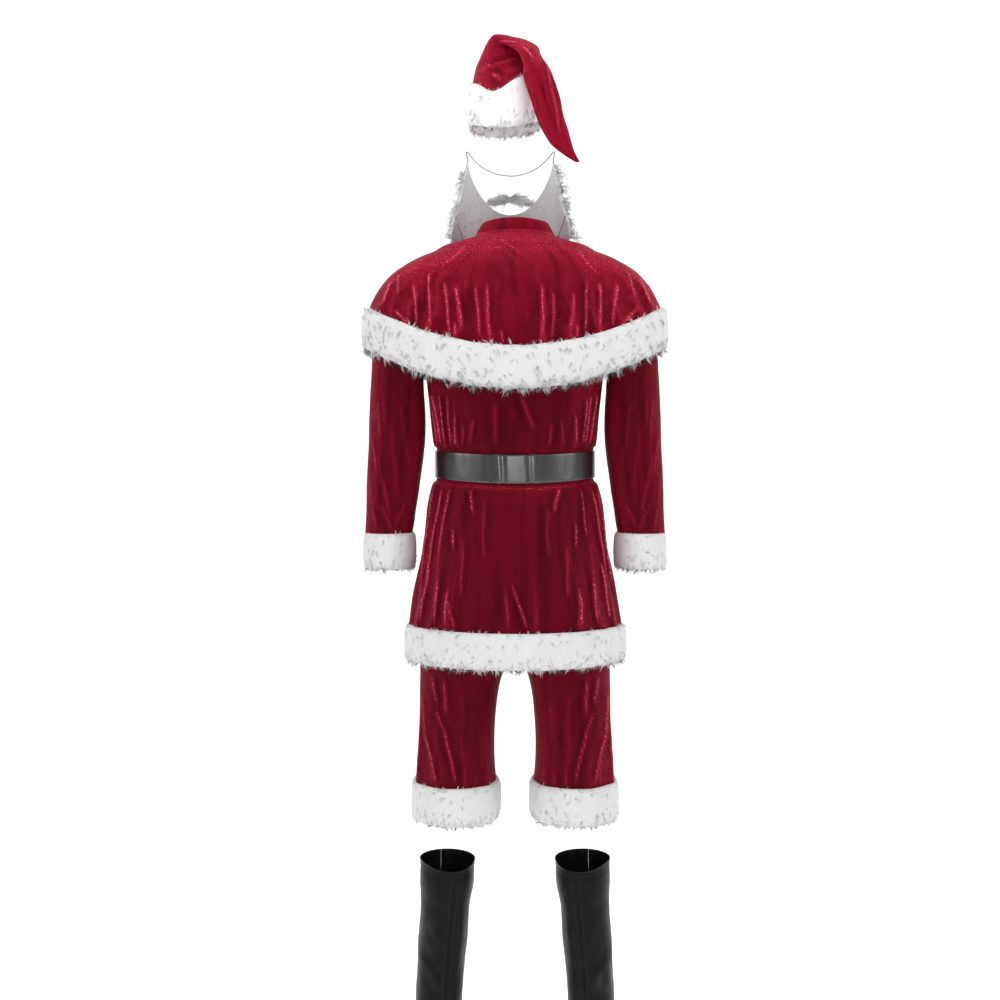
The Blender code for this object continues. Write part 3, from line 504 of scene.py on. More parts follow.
        row, column = np.meshgrid(np.arange(rows - 1), np.arange(columns - 1), indexing="ij")
        walls = [(0, row, column), (0, row + 1, column), (0, row + 1, column + 1), (0, row, column + 1)]
        faces = [np.stack([corner(*place) for place in walls], axis=1)]
        faces.append(faces[0][:, ::-1] + rows * columns)
        line, last = np.arange(columns - 1), rows - 1
        top = [(0, 0 * line, line), (0, 0 * line, line + 1), (1, 0 * line, line + 1), (1, 0 * line, line)]
        low = [(1, last + 0 * line, line), (1, last + 0 * line, line + 1)]
        low += [(0, last + 0 * line, line + 1), (0, last + 0 * line, line)]
        rims = [top, low]
        if not self.closed:
            line, last = np.arange(rows - 1), columns - 1
            start = [(0, line, 0 * line), (1, line, 0 * line)]
            start += [(1, line + 1, 0 * line), (0, line + 1, 0 * line)]
            end = [(0, line + 1, last + 0 * line), (1, line + 1, last + 0 * line)]
            end += [(1, line, last + 0 * line), (0, line, last + 0 * line)]
            rims += [start, end]
        faces += [np.stack([corner(*place) for place in rim], axis=1) for rim in rims]
        corners = np.concatenate(faces)
        if self.flipped:
            corners = corners[:, ::-1]
        mesh = bpy.data.meshes.new(f"{name}_cloth")
        mesh.from_pydata(layers[:, :, :kept].reshape(-1, 3).tolist(), [], number[corners].tolist())
        flat_map = np.concatenate([self.cloth_map().reshape(-1, 2)] * 2)
        mesh.uv_layers.new(name="cloth").data.foreach_set("uv", flat_map[corners].ravel())
        for label, values in masks._asdict().items():
            store(mesh, label, np.tile(values[:, :kept].reshape(-1), 2))
        mesh.shade_smooth()
        mesh.set_sharp_from_angle(angle=math.radians(60))
        piece = put(mesh.name, mesh)
        return piece


class NodeGraph:
    """Adds nodes to one tree, each with its settings, its values and its links."""

    def __init__(self, tree: Tree) -> None:
        """Work on one node tree."""
        self.tree = tree

    def add(self, kind: str, inputs: dict[str | int, Any] | None = None, **settings: Any) -> Node:
        """Add a node.

        Args:
            kind: The node's type.
            inputs: A value or a socket to link for each input, by name or number.
            **settings: The node's own properties, set before its inputs.

        Returns:
            The new node.
        """
        node = self.tree.nodes.new(kind)
        for key, value in settings.items():
            setattr(node, key, value)
        for key, value in (inputs or {}).items():
            if isinstance(value, Socket):
                self.link(value, node.inputs[key])
            else:
                node.inputs[key].default_value = value
        return node

    def link(self, source: Socket, target: Socket) -> None:
        """Feed one socket to another."""
        self.tree.links.new(source, target)

    def value(self, operation: str, first: Any, second: Any = 0.0, clamp: bool = False) -> Socket:
        """Work out one number from two."""
        node = self.add("ShaderNodeMath", {0: first, 1: second}, operation=operation, use_clamp=clamp)
        return node.outputs[0]

    def times(self, first: Any, second: Any, clamp: bool = False) -> Socket:
        """Multiply two numbers."""
        return self.value("MULTIPLY", first, second, clamp)

    def plus(self, first: Any, second: Any, clamp: bool = False) -> Socket:
        """Add two numbers."""
        return self.value("ADD", first, second, clamp)

    def between(self, value: Any, low: float, high: float, to_low: float = 0.0, to_high: float = 1.0) -> Any:
        """Rise softly from one number to another while a value goes from low to high."""
        inputs = {"Value": value, "From Min": low, "From Max": high, "To Min": to_low, "To Max": to_high}
        return self.add("ShaderNodeMapRange", inputs, interpolation_type="SMOOTHSTEP").outputs["Result"]

    def blend(self, share: Any, first: Any, second: Any) -> Socket:
        """Mix two colours."""
        node = self.add("ShaderNodeMix", {0: share, 6: first, 7: second}, data_type="RGBA")
        return node.outputs[2]

    def scaled(self, vector: Any, scale: Sequence[float]) -> Socket:
        """Scale coordinates by a number along each axis."""
        node = self.add("ShaderNodeMapping", {"Vector": vector, "Scale": tuple(scale)})
        return node.outputs["Vector"]

    def noise(self, vector: Any, scale: float, detail: float = 3.0, **more: Any) -> Socket:
        """Soft noise from 0 to 1."""
        inputs = {"Vector": vector, "Scale": scale, "Detail": detail, **more}
        return self.add("ShaderNodeTexNoise", inputs).outputs["Fac"]

    def attribute(self, name: str) -> Socket:
        """A number stored on the mesh."""
        return self.add("ShaderNodeAttribute", attribute_name=name).outputs["Fac"]

    def group(self, tree: Tree, inputs: dict[str | int, Any]) -> Node:
        """Place a node group with its own values."""
        return self.add("ShaderNodeGroup", inputs, node_tree=tree)


def colour(red: float, green: float, blue: float) -> tuple[float, float, float, float]:
    """An opaque linear colour."""
    return (red, green, blue, 1.0)


def new_group(name: str, inputs: dict[str, tuple[str, Any]], outputs: dict[str, str]) -> tuple[Any, Any, Any]:
    """Start a shader node group.

    Args:
        name: The group's name.
        inputs: The socket type and the usual value of each input.
        outputs: The socket type of each output.

    Returns:
        The graph to build in, the node that gives the inputs, and the one that takes the outputs.
    """
    tree = bpy.data.node_groups.new(name, "ShaderNodeTree")
    for label, (kind, usual) in inputs.items():
        socket = tree.interface.new_socket(label, in_out="INPUT", socket_type=kind)
        if usual is not None:
            socket.default_value = usual
    for label, kind in outputs.items():
        tree.interface.new_socket(label, in_out="OUTPUT", socket_type=kind)
    graph = NodeGraph(tree)
    return graph, graph.add("NodeGroupInput"), graph.add("NodeGroupOutput")


class SharedEffects:
    """The effects that several finishes use, each built once as a node group."""

    def __init__(self) -> None:
        """Build every group."""
        self.nap = self.build_nap()
        self.grain = self.build_grain()
        self.pile = self.build_pile()

    def build_nap(self) -> Tree:
        """Crushed nap: small specks drawn out down the cloth for painted highlight glints, brush streaks and
        relief.
        """
        number = "NodeSocketFloat"
        inputs = {"Vector": ("NodeSocketVector", None), "Speck Scale": (number, 440.0)}
        inputs |= {"Streak Scale": (number, 60.0), "Cover": (number, 0.5)}
        graph, given, result = new_group(
            "crushed_nap", inputs, {"Specks": number, "Streaks": number, "Grain": number, "Height": number}
        )
        tall = graph.scaled(given.outputs["Vector"], (1.0, 0.50, 1.0))
        taller = graph.scaled(given.outputs["Vector"], (1.0, 0.10, 1.0))
        fine = graph.noise(tall, given.outputs["Speck Scale"], 2.0)
        broad = graph.noise(taller, given.outputs["Streak Scale"], 3.0, Distortion=0.25)
        threshold = graph.value("SUBTRACT", 0.80, graph.times(given.outputs["Cover"], 0.40))
        over = graph.value("SUBTRACT", fine, threshold)
        specks = graph.between(over, 0.0, 0.13)
        height = graph.plus(graph.times(fine, 0.6), graph.times(broad, 0.8))
        for label, socket in (("Specks", specks), ("Streaks", broad), ("Grain", fine), ("Height", height)):
            graph.link(socket, result.inputs[label])
        return graph.tree

    def build_grain(self) -> Tree:
        """Leather grain: pebbles, with soft creases over them and rubbed high spots."""
        number = "NodeSocketFloat"
        inputs = {"Vector": ("NodeSocketVector", None), "Pebbles": (number, 900.0), "Creases": (number, 22.0)}
        graph, given, result = new_group("leather_grain", inputs, {"Height": number, "Rubbed": number})
        vector = given.outputs["Vector"]
        cells = graph.add("ShaderNodeTexVoronoi", {"Vector": vector, "Scale": given.outputs["Pebbles"]})
        pebble = graph.between(cells.outputs["Distance"], 0.1, 0.7, 1.0, 0.0)
        folds = graph.noise(vector, given.outputs["Creases"], 4.0, Distortion=0.6)
        crease = graph.value("ABSOLUTE", graph.value("SUBTRACT", folds, 0.5))
        crease = graph.between(crease, 0.0, 0.05)
        height = graph.plus(graph.times(pebble, 0.35), graph.times(crease, 0.5))
        rubbed = graph.between(folds, 0.52, 0.72)
        graph.link(height, result.inputs["Height"])
        graph.link(rubbed, result.inputs["Rubbed"])
        return graph.tree

    def build_pile(self) -> Tree:
        """Fibres: fine lines of light and shade, and soft clumps."""
        number = "NodeSocketFloat"
        inputs = {"Vector": ("NodeSocketVector", None), "Fibres": (number, 900.0), "Clumps": (number, 60.0)}
        graph, given, result = new_group("fibres", inputs, {"Shade": number, "Height": number})
        vector = given.outputs["Vector"]
        lines = graph.noise(graph.scaled(vector, (1.0, 1.0, 0.22)), given.outputs["Fibres"], 2.0)
        clumps = graph.noise(graph.scaled(vector, (1.0, 1.0, 0.6)), given.outputs["Clumps"], 3.0)
        shade = graph.plus(graph.times(lines, 0.35), graph.times(clumps, 0.65))
        height = graph.plus(graph.times(lines, 0.4), clumps)
        graph.link(shade, result.inputs["Shade"])
        graph.link(height, result.inputs["Height"])
        return graph.tree


def new_material(name: str) -> tuple[Material, NodeGraph, Node]:
    """Start a material: the material, its graph and its shader."""
    material = bpy.data.materials.new(name)
    material.use_nodes = True
    return material, NodeGraph(material.node_tree), material.node_tree.nodes["Principled BSDF"]


def set_bump(
    graph: NodeGraph, shader: Node, height: Any, distance: float, strength: float, normal: Any = None
) -> None:
    """Feed a height to a shader's normal.

    Args:
        graph: The material's graph.
        shader: Its shader.
        height: The height, from 0 to 1.
        distance: What a height of 1 stands for, in metres.
        strength: How much of it shows.
        normal: The normal that the relief is added to, where it isn't the surface's own.
    """
    bump = graph.add("ShaderNodeBump", {"Height": height, "Distance": distance, "Strength": strength})
    if normal is not None:
        graph.link(normal, bump.inputs["Normal"])
    graph.link(bump.outputs["Normal"], shader.inputs["Normal"])


@dataclass(frozen=True)
class VelvetFinish:
    """Crushed velvet: a deep ground, painted shade in the dips, a lighter nap partly painted highlight, and
    painted glints along the ridges.
    """

    name: str = "crushed_velvet"
    deep: Triple = (0.078, 0.0007, 0.005)
    ground: Triple = (0.175, 0.0018, 0.012)
    # The lighter nap colour, for random grain and for painted highlight.
    brushed: Triple = (0.420, 0.014, 0.042)
    bright: Triple = (0.700, 0.105, 0.165)
    specks: float = 0.80
    base_cover: float = 0.14
    sheen: float = 0.10

    def make(self, effects: SharedEffects) -> Material:
        """Build the material."""
        material, graph, shader = new_material(self.name)
        cloth = graph.add("ShaderNodeUVMap", uv_map="cloth").outputs["UV"]
        crest, crush = graph.attribute("crest"), graph.attribute("crush")
        # How much of the cloth gets painted highlight glints: most on the ridges, the sides and the top.
        cover = graph.plus(graph.times(crest, 0.72), graph.times(crush, 0.46))
        cover = graph.plus(cover, self.base_cover, clamp=True)
        nap = graph.group(effects.nap, {"Vector": cloth, "Cover": cover})
        tone = graph.between(nap.outputs["Streaks"], 0.12, 0.62)
        # Painted shade: the dips beside the folds are darkened towards the deep colour.
        tone = graph.value("SUBTRACT", tone, graph.times(graph.attribute("hollow"), 0.75), clamp=True)
        base = graph.blend(tone, colour(*self.deep), colour(*self.ground))
        # Painted highlight: the nap's grain is lightened most where the cloth turns sideways and on top, and
        # a little everywhere at random.
        lifted = graph.plus(graph.times(crush, 0.75), 0.14)
        grain = graph.times(graph.between(nap.outputs["Grain"], 0.46, 0.76), lifted, clamp=True)
        base = graph.blend(grain, base, colour(*self.brushed))
        # Painted highlight along the fold ridges and on the sides and top, broken by the streaks.
        raised = graph.plus(graph.times(crest, 0.95), graph.times(crush, 0.52))
        streaks = graph.between(nap.outputs["Streaks"], 0.20, 0.55, 0.35, 1.0)
        raised = graph.times(raised, streaks, clamp=True)
        base = graph.blend(raised, base, colour(*self.brushed))
        # Painted highlight glints, and a thin painted highlight line along each ridge.
        specks = graph.times(nap.outputs["Specks"], self.specks, clamp=True)
        specks = graph.times(specks, graph.between(cover, 0.05, 0.80, 0.14, 1.0), clamp=True)
        line = graph.value("POWER", crest, 2.0)
        line = graph.times(line, graph.between(nap.outputs["Grain"], 0.38, 0.66, 0.04, 0.40), clamp=True)
        specks = graph.value("MAXIMUM", specks, line)
        base = graph.blend(specks, base, colour(*self.bright))
        graph.link(base, shader.inputs["Base Color"])
        rough = graph.between(specks, 0.0, 1.0, 0.62, 0.38)
        graph.link(rough, shader.inputs["Roughness"])
        set_inputs(shader, {
            "Specular IOR Level": 0.04, "Sheen Weight": self.sheen, "Sheen Roughness": 0.32,
            "Sheen Tint": colour(0.90, 0.06, 0.12),
        })
        set_bump(graph, shader, nap.outputs["Height"], 0.0012, 0.55)
        return material


@dataclass(frozen=True)
class FurFinish:
    """Long white synthetic fur, with painted shade at the roots and grey painted shade in its clumps."""

    name: str = "white_fur"
    root: Triple = (0.62, 0.62, 0.625)
    tip: Triple = (0.95, 0.95, 0.95)
    shade_depth: float = 0.02
    softness: float = 7.0
    clumps: float = 55.0

    def make(self, effects: SharedEffects) -> Material:
        """Build the material."""
        material, graph, shader = new_material(self.name)
        place = graph.add("ShaderNodeTexCoord").outputs["Object"]
        pile = graph.group(effects.pile, {"Vector": place, "Clumps": self.clumps})
        along = graph.attribute("along")
        # From the root colour to the tip colour along each strand; a darker root colour is painted shade at
        # the roots.
        base = graph.blend(graph.between(along, 0.0, 0.75), colour(*self.root), colour(*self.tip))
        # Grey painted shade in the clumps.
        dark = graph.between(pile.outputs["Shade"], 0.30, 0.62, self.shade_depth, 0.0)
        base = graph.blend(dark, base, colour(0.40, 0.41, 0.43))
        graph.link(base, shader.inputs["Base Color"])
        rough = graph.between(pile.outputs["Shade"], 0.2, 0.8, 0.92, 0.78)
        graph.link(rough, shader.inputs["Roughness"])
        set_inputs(shader, {"Specular IOR Level": 0.08, "Sheen Weight": 0.25, "Sheen Roughness": 0.5})
        facing = graph.add("ShaderNodeNewGeometry").outputs["Normal"]
        lying = graph.add("ShaderNodeAttribute", attribute_name="lie").outputs["Vector"]
        lying = graph.add("ShaderNodeVectorMath", {0: lying, "Scale": self.softness}, operation="SCALE")
        normal = graph.add("ShaderNodeVectorMath", {0: facing, 1: lying.outputs[0]}, operation="ADD")
        normal = graph.add("ShaderNodeVectorMath", {0: normal.outputs[0]}, operation="NORMALIZE")
        set_bump(graph, shader, pile.outputs["Height"], 0.0012, 0.35, normal.outputs[0])
        return material


@dataclass(frozen=True)
class LeatherFinish:
    """Black coated cloth: a soft gloss over fine grain, greyer where it is rubbed and in painted highlight on
    ridges and edges.
    """

    name: str
    ground: Triple = (0.0035, 0.0042, 0.0046)
    rubbed: Triple = (0.017, 0.019, 0.020)
    roughness: Pair = (0.30, 0.44)
    gloss: float = 0.11
    pebbles: float = 900.0
    creases: float = 22.0
    relief: float = 0.35
    coat: float = 0.15

    def make(self, effects: SharedEffects) -> Material:
        """Build the material."""
        material, graph, shader = new_material(self.name)
        place = graph.add("ShaderNodeTexCoord").outputs["Object"]
        grain = graph.group(
            effects.grain, {"Vector": place, "Pebbles": self.pebbles, "Creases": self.creases}
        )
        patches = graph.noise(place, 17.0, 3.0)
        worn = graph.times(grain.outputs["Rubbed"], graph.between(patches, 0.35, 0.75), clamp=True)
        # Painted highlight along the ridges and edges joins the random rubbed wear, both in the rubbed
        # colour.
        worn = graph.plus(worn, graph.times(graph.attribute("crest"), 0.6), clamp=True)
        base = graph.blend(worn, colour(*self.ground), colour(*self.rubbed))
        graph.link(base, shader.inputs["Base Color"])
        smooth, dull = self.roughness
        graph.link(graph.between(patches, 0.3, 0.7, dull, smooth), shader.inputs["Roughness"])
        set_inputs(shader, {
            "Specular IOR Level": self.gloss, "Coat Weight": self.coat, "Coat Roughness": 0.3,
        })
        set_bump(graph, shader, grain.outputs["Height"], 0.0006, self.relief)
        return material


@dataclass(frozen=True)
class MetalFinish:
    """Polished plated metal with faint brushing and finger marks."""

    name: str = "plated_metal"
    plated: Triple = (0.78, 0.77, 0.74)
    dull: Triple = (0.55, 0.54, 0.52)

    def make(self, effects: SharedEffects) -> Material:
        """Build the material."""
        material, graph, shader = new_material(self.name)
        place = graph.add("ShaderNodeTexCoord").outputs["Object"]
        marks = graph.noise(place, 90.0, 4.0)
        lines = graph.noise(graph.scaled(place, (12.0, 40.0, 900.0)), 1.0, 2.0)
        base = graph.blend(graph.between(marks, 0.4, 0.7), colour(*self.plated), colour(*self.dull))
        graph.link(base, shader.inputs["Base Color"])
        graph.link(graph.between(marks, 0.3, 0.7, 0.16, 0.34), shader.inputs["Roughness"])
        set_inputs(shader, {"Metallic": 1.0})
        set_bump(graph, shader, lines, 0.0002, 0.15)
        return material


@dataclass(frozen=True)
class PlainClothFinish:
    """Plain woven or braided white cloth."""

    name: str
    tone: Triple = (0.80, 0.80, 0.80)
    ribs: float = 1400.0

    def make(self, effects: SharedEffects) -> Material:
        """Build the material."""
        material, graph, shader = new_material(self.name)
        place = graph.add("ShaderNodeTexCoord").outputs["Object"]
        wave = graph.add("ShaderNodeTexWave", {"Vector": place, "Scale": self.ribs / 6.3, "Distortion": 1.5})
        pile = graph.group(effects.pile, {"Vector": place, "Clumps": 120.0})
        shade = graph.between(pile.outputs["Shade"], 0.3, 0.7, 0.25, 0.0)
        base = graph.blend(shade, colour(*self.tone), colour(*(0.55 * part for part in self.tone)))
        graph.link(base, shader.inputs["Base Color"])
        graph.link(graph.between(pile.outputs["Shade"], 0.2, 0.8, 0.9, 0.7), shader.inputs["Roughness"])
        set_bump(graph, shader, wave.outputs["Fac"], 0.0004, 0.4)
        return material


def new_geometry_tree(name: str, inputs: dict[str, str]) -> tuple[NodeGraph, Node, Node]:
    """Start a Geometry Nodes tree that takes a mesh and gives one back.

    Args:
        name: The tree's name.
        inputs: The socket type of each input besides the mesh.

    Returns:
        The graph to build in, the node that gives the inputs, and the one that takes the result.
    """
    tree = bpy.data.node_groups.new(name, "GeometryNodeTree")
    tree.interface.new_socket("Mesh", in_out="INPUT", socket_type="NodeSocketGeometry")
    for label, kind in inputs.items():
        tree.interface.new_socket(label, in_out="INPUT", socket_type=kind)
    tree.interface.new_socket("Mesh", in_out="OUTPUT", socket_type="NodeSocketGeometry")
    graph = NodeGraph(tree)
    return graph, graph.add("NodeGroupInput"), graph.add("NodeGroupOutput")


def run_tree(piece: Object, tree: Tree, values: dict[str, Any]) -> None:
    """Run a Geometry Nodes tree on a piece and keep the result as its plain mesh.

    Args:
        piece: The object whose mesh goes in.
        tree: The tree.
        values: The value of each named input.
    """
    modifier = piece.modifiers.new("grow", "NODES")
    modifier.node_group = tree
    for socket in tree.interface.items_tree:
        if socket.in_out == "INPUT" and socket.name in values:
            modifier[socket.identifier] = values[socket.name]
    graph = bpy.context.evaluated_depsgraph_get()
    grown = bpy.data.meshes.new_from_object(
        piece.evaluated_get(graph), preserve_all_data_layers=True, depsgraph=graph
    )
    piece.modifiers.clear()
    spent, piece.data = piece.data, grown
    bpy.data.meshes.remove(spent)
    grown.name = piece.name


def tube_mesh(
    name: str, paths: Sequence[tuple[Array, Array]], sides: int, thickness: float = 1.0
) -> Mesh:
    """Make closed tapering tubes.

    Args:
        name: The mesh's name.
        paths: The points of each tube's middle, and its radius at each. A last radius of 0 makes a point.
        sides: How many sides each tube has.
        thickness: How thick a tube is for its width. Its flat side lies level.

    Returns:
        A mesh whose attribute "along" runs from 0 at each root to 1 at each tip.
    """
    points, faces, along = [], [], []
    turn = np.arange(sides) * TURN / sides
    for middle, radius in paths:
        first, count = len(points), len(middle)
        tangent = unit(np.gradient(middle, axis=0))
        spare = np.where(np.abs(tangent[:, 1:2]) < 0.9, (0.0, 1.0, 0.0), (1.0, 0.0, 0.0))
        side = unit(np.cross(tangent, spare))
        other = np.cross(tangent, side)
        pointed = int(radius[-1] <= 0)
        for number in range(count - pointed):
            ring = thickness * np.cos(turn)[:, None] * side[number] + np.sin(turn)[:, None] * other[number]
            points += (middle[number] + radius[number] * ring).tolist()
            along += [number / (count - 1)] * sides
        for number in range(count - 1 - pointed):
            low = first + number * sides
            for k in range(sides):
                n = (k + 1) % sides
                faces.append((low + k, low + n, low + sides + n, low + sides + k))
        faces.append(tuple(first + k for k in reversed(range(sides))))
        low = first + (count - 1 - pointed) * sides
        if pointed:
            points.append(middle[-1].tolist())
            along.append(1.0)
            faces += [(low + k, low + (k + 1) % sides, low + sides) for k in range(sides)]
        else:
            faces.append(tuple(low + k for k in range(sides)))
    mesh = bpy.data.meshes.new(name)
    mesh.from_pydata(points, [], faces)
    store(mesh, "along", along)
    mesh.shade_smooth()
    make_outward(mesh)
    return mesh


@dataclass(frozen=True)
class LockShapes:
    """A few small shapes of hair, one unit long, that the pile picks from.

    A strand leaves its root steeply and lies down along X towards its tip.
    """

    name: str
    variants: int = 6
    strands: int = 6
    root_radius: float = 0.024
    thickness: float = 0.13
    spread: float = 0.17
    steep: Pair = (2.0, 9.0)
    flat: Pair = (-8.0, 6.0)
    turns: float = 0.0
    coil: float = 0.0
    points: int = 3
    seed: int = 11

    def strand(self, draw: np.random.Generator, phase: float) -> tuple[Array, Array]:
        """One strand: its middle line and its radii."""
        t = np.linspace(0.0, 1.0, self.points)
        turn, reach = draw.uniform(0, TURN), self.spread * math.sqrt(draw.uniform(0.05, 1.0))
        root = np.array((math.cos(turn), math.sin(turn))) * reach
        length, sway = draw.uniform(0.72, 1.05), draw.normal(0.0, 0.12)
        slope = np.radians(np.interp(t, (0.0, 1.0), (draw.uniform(*self.steep), draw.uniform(*self.flat))))
        step = length / (self.points - 1)
        run = np.concatenate([[0.0], np.cumsum(np.cos(slope[:-1]) * step)])
        rise = np.concatenate([[0.0], np.cumsum(np.sin(slope[:-1]) * step)])
        spin = phase + TURN * self.turns * t
        coil = self.coil * np.sin(np.pi * np.clip(t * 1.15, 0.0, 1.0)) ** 0.5
        across = root[1] * (1 - 0.75 * t) + sway * t**1.5 + coil * np.sin(spin)
        along, up = root[0] * (1 - 0.75 * t) + run, rise + coil * np.cos(spin) - 0.05
        middle = np.stack([along, across, up], axis=-1)
        return middle, self.root_radius * np.clip(1.0 - t, 0.0, 1.0) ** 0.55

    def make(self) -> bpy.types.Collection:
        """Make the shapes in a collection of their own, outside the scene."""
        draw = np.random.default_rng(self.seed)
        shapes = bpy.data.collections.new(self.name)
        for number in range(self.variants):
            phase = draw.uniform(0, TURN)
            paths = [self.strand(draw, phase + 0.25 * k) for k in range(self.strands)]
            label = f"{self.name}_{number}"
            shapes.objects.link(bpy.data.objects.new(label, tube_mesh(label, paths, 3, self.thickness)))
        return shapes


def build_pile_tree() -> Tree:
    """Hair on a base: locks that stand off it, turned the way the base is combed."""
    number = "NodeSocketFloat"
    inputs = {"Locks": "NodeSocketCollection", "Density": number, "Length": number, "Tousle": number}
    inputs |= {"Variants": "NodeSocketInt", "Seed": "NodeSocketInt", "Finish": "NodeSocketMaterial"}
    graph, given, result = new_geometry_tree("pile_of_locks", inputs)
    value = given.outputs

    def stored(label: str, kind: str) -> Socket:
        """An attribute of the base."""
        return graph.add("GeometryNodeInputNamedAttribute", {"Name": label}, data_type=kind).outputs[0]

    def keep_normal(geometry: Socket, normal: Socket) -> Socket:
        """Store the way out of the base, turned up where it faces down: the finish shades the hair by it."""
        lifted = graph.add("ShaderNodeVectorMath", {0: normal, 1: (-1.0, -1.0, -0.1)}, operation="MAXIMUM")
        inputs = {"Geometry": geometry, "Name": "lie", "Value": lifted.outputs[0]}
        return graph.add("GeometryNodeStoreNamedAttribute", inputs, data_type="FLOAT_VECTOR").outputs[0]

    density = graph.times(value["Density"], stored("cover", "FLOAT"))
    scatter = graph.add(
        "GeometryNodeDistributePointsOnFaces",
        {"Mesh": value["Mesh"], "Density": density, "Seed": value["Seed"]},
        distribute_method="RANDOM",
    )
    combed = graph.add(
        "FunctionNodeAlignRotationToVector",
        {"Rotation": scatter.outputs["Rotation"], "Vector": stored("comb", "FLOAT_VECTOR")},
        axis="X",
        pivot_axis="Z",
    )
    wild = graph.add(
        "FunctionNodeRandomValue", {0: (-0.18, -0.22, -1.0), 1: (0.18, 0.22, 1.0), "Seed": value["Seed"]},
        data_type="FLOAT_VECTOR",
    )
    wild = graph.add(
        "ShaderNodeVectorMath", {0: wild.outputs[0], "Scale": value["Tousle"]}, operation="SCALE"
    )
    turned = graph.add(
        "FunctionNodeRotateRotation",
        {"Rotation": combed.outputs["Rotation"], "Rotate By": wild.outputs["Vector"]},
        rotation_space="LOCAL",
    )
    size = graph.add("FunctionNodeRandomValue", {2: 0.62, 3: 1.18, "Seed": value["Seed"]}, data_type="FLOAT")
    size = graph.times(size.outputs[1], value["Length"])
    size = graph.times(size, stored("pile", "FLOAT"))
    chosen = graph.add(
        "FunctionNodeRandomValue", {4: 0, 5: value["Variants"], "Seed": value["Seed"]}, data_type="INT"
    )
    shapes = graph.add(
        "GeometryNodeCollectionInfo",
        {"Collection": value["Locks"], "Separate Children": True, "Reset Children": True},
    )
    placed = graph.add(
        "GeometryNodeInstanceOnPoints",
        {
            "Points": keep_normal(scatter.outputs["Points"], scatter.outputs["Normal"]),
            "Instance": shapes.outputs[0],
            "Pick Instance": True,
            "Instance Index": chosen.outputs[2],
            "Rotation": turned.outputs["Rotation"],
            "Scale": size,
        },
    )
    locks = graph.add("GeometryNodeRealizeInstances", {0: placed.outputs[0]})
    both = graph.add("GeometryNodeJoinGeometry")
    graph.link(locks.outputs[0], both.inputs[0])
    graph.link(keep_normal(value["Mesh"], graph.add("GeometryNodeInputNormal").outputs[0]), both.inputs[0])
    done = graph.add("GeometryNodeSetMaterial", {"Geometry": both.outputs[0], "Material": value["Finish"]})
    graph.link(done.outputs[0], result.inputs["Mesh"])
    return graph.tree


def build_stitch_tree() -> Tree:
    """Stitches laid end to end along lines."""
    number = "NodeSocketFloat"
    inputs = {"Pitch": number, "Length": number, "Thread": number, "Finish": "NodeSocketMaterial"}
    graph, given, result = new_geometry_tree("stitch_run", inputs)
    value = given.outputs
    line = graph.add("GeometryNodeMeshToCurve", {"Mesh": value["Mesh"]})
    pitched = {"Curve": line.outputs[0], "Length": value["Pitch"]}
    places = graph.add("GeometryNodeCurveToPoints", pitched, mode="LENGTH")
    turned = graph.add("FunctionNodeAlignRotationToVector", {"Vector": places.outputs["Tangent"]}, axis="X")
    ball = graph.add("GeometryNodeMeshIcoSphere", {"Radius": 0.5, "Subdivisions": 1})
    size = graph.add(
        "ShaderNodeCombineXYZ", {"X": value["Length"], "Y": value["Thread"], "Z": value["Thread"]}
    )
    placed = graph.add(
        "GeometryNodeInstanceOnPoints",
        {
            "Points": places.outputs["Points"],
            "Instance": ball.outputs[0],
            "Rotation": turned.outputs["Rotation"],
            "Scale": size.outputs[0],
        },
    )
    whole = graph.add("GeometryNodeRealizeInstances", {0: placed.outputs[0]})
    done = graph.add("GeometryNodeSetMaterial", {"Geometry": whole.outputs[0], "Material": value["Finish"]})
    graph.link(done.outputs[0], result.inputs["Mesh"])
    return graph.tree


def report(piece: Object) -> None:
    """Log a finished piece's name, how many triangles it has and their area."""
    triangles = sum(len(face.vertices) - 2 for face in piece.data.polygons)
    area = sum(face.area for face in piece.data.polygons)
    LOG.info("%s: %d triangles, %.4f square metres", piece.name, triangles, area)


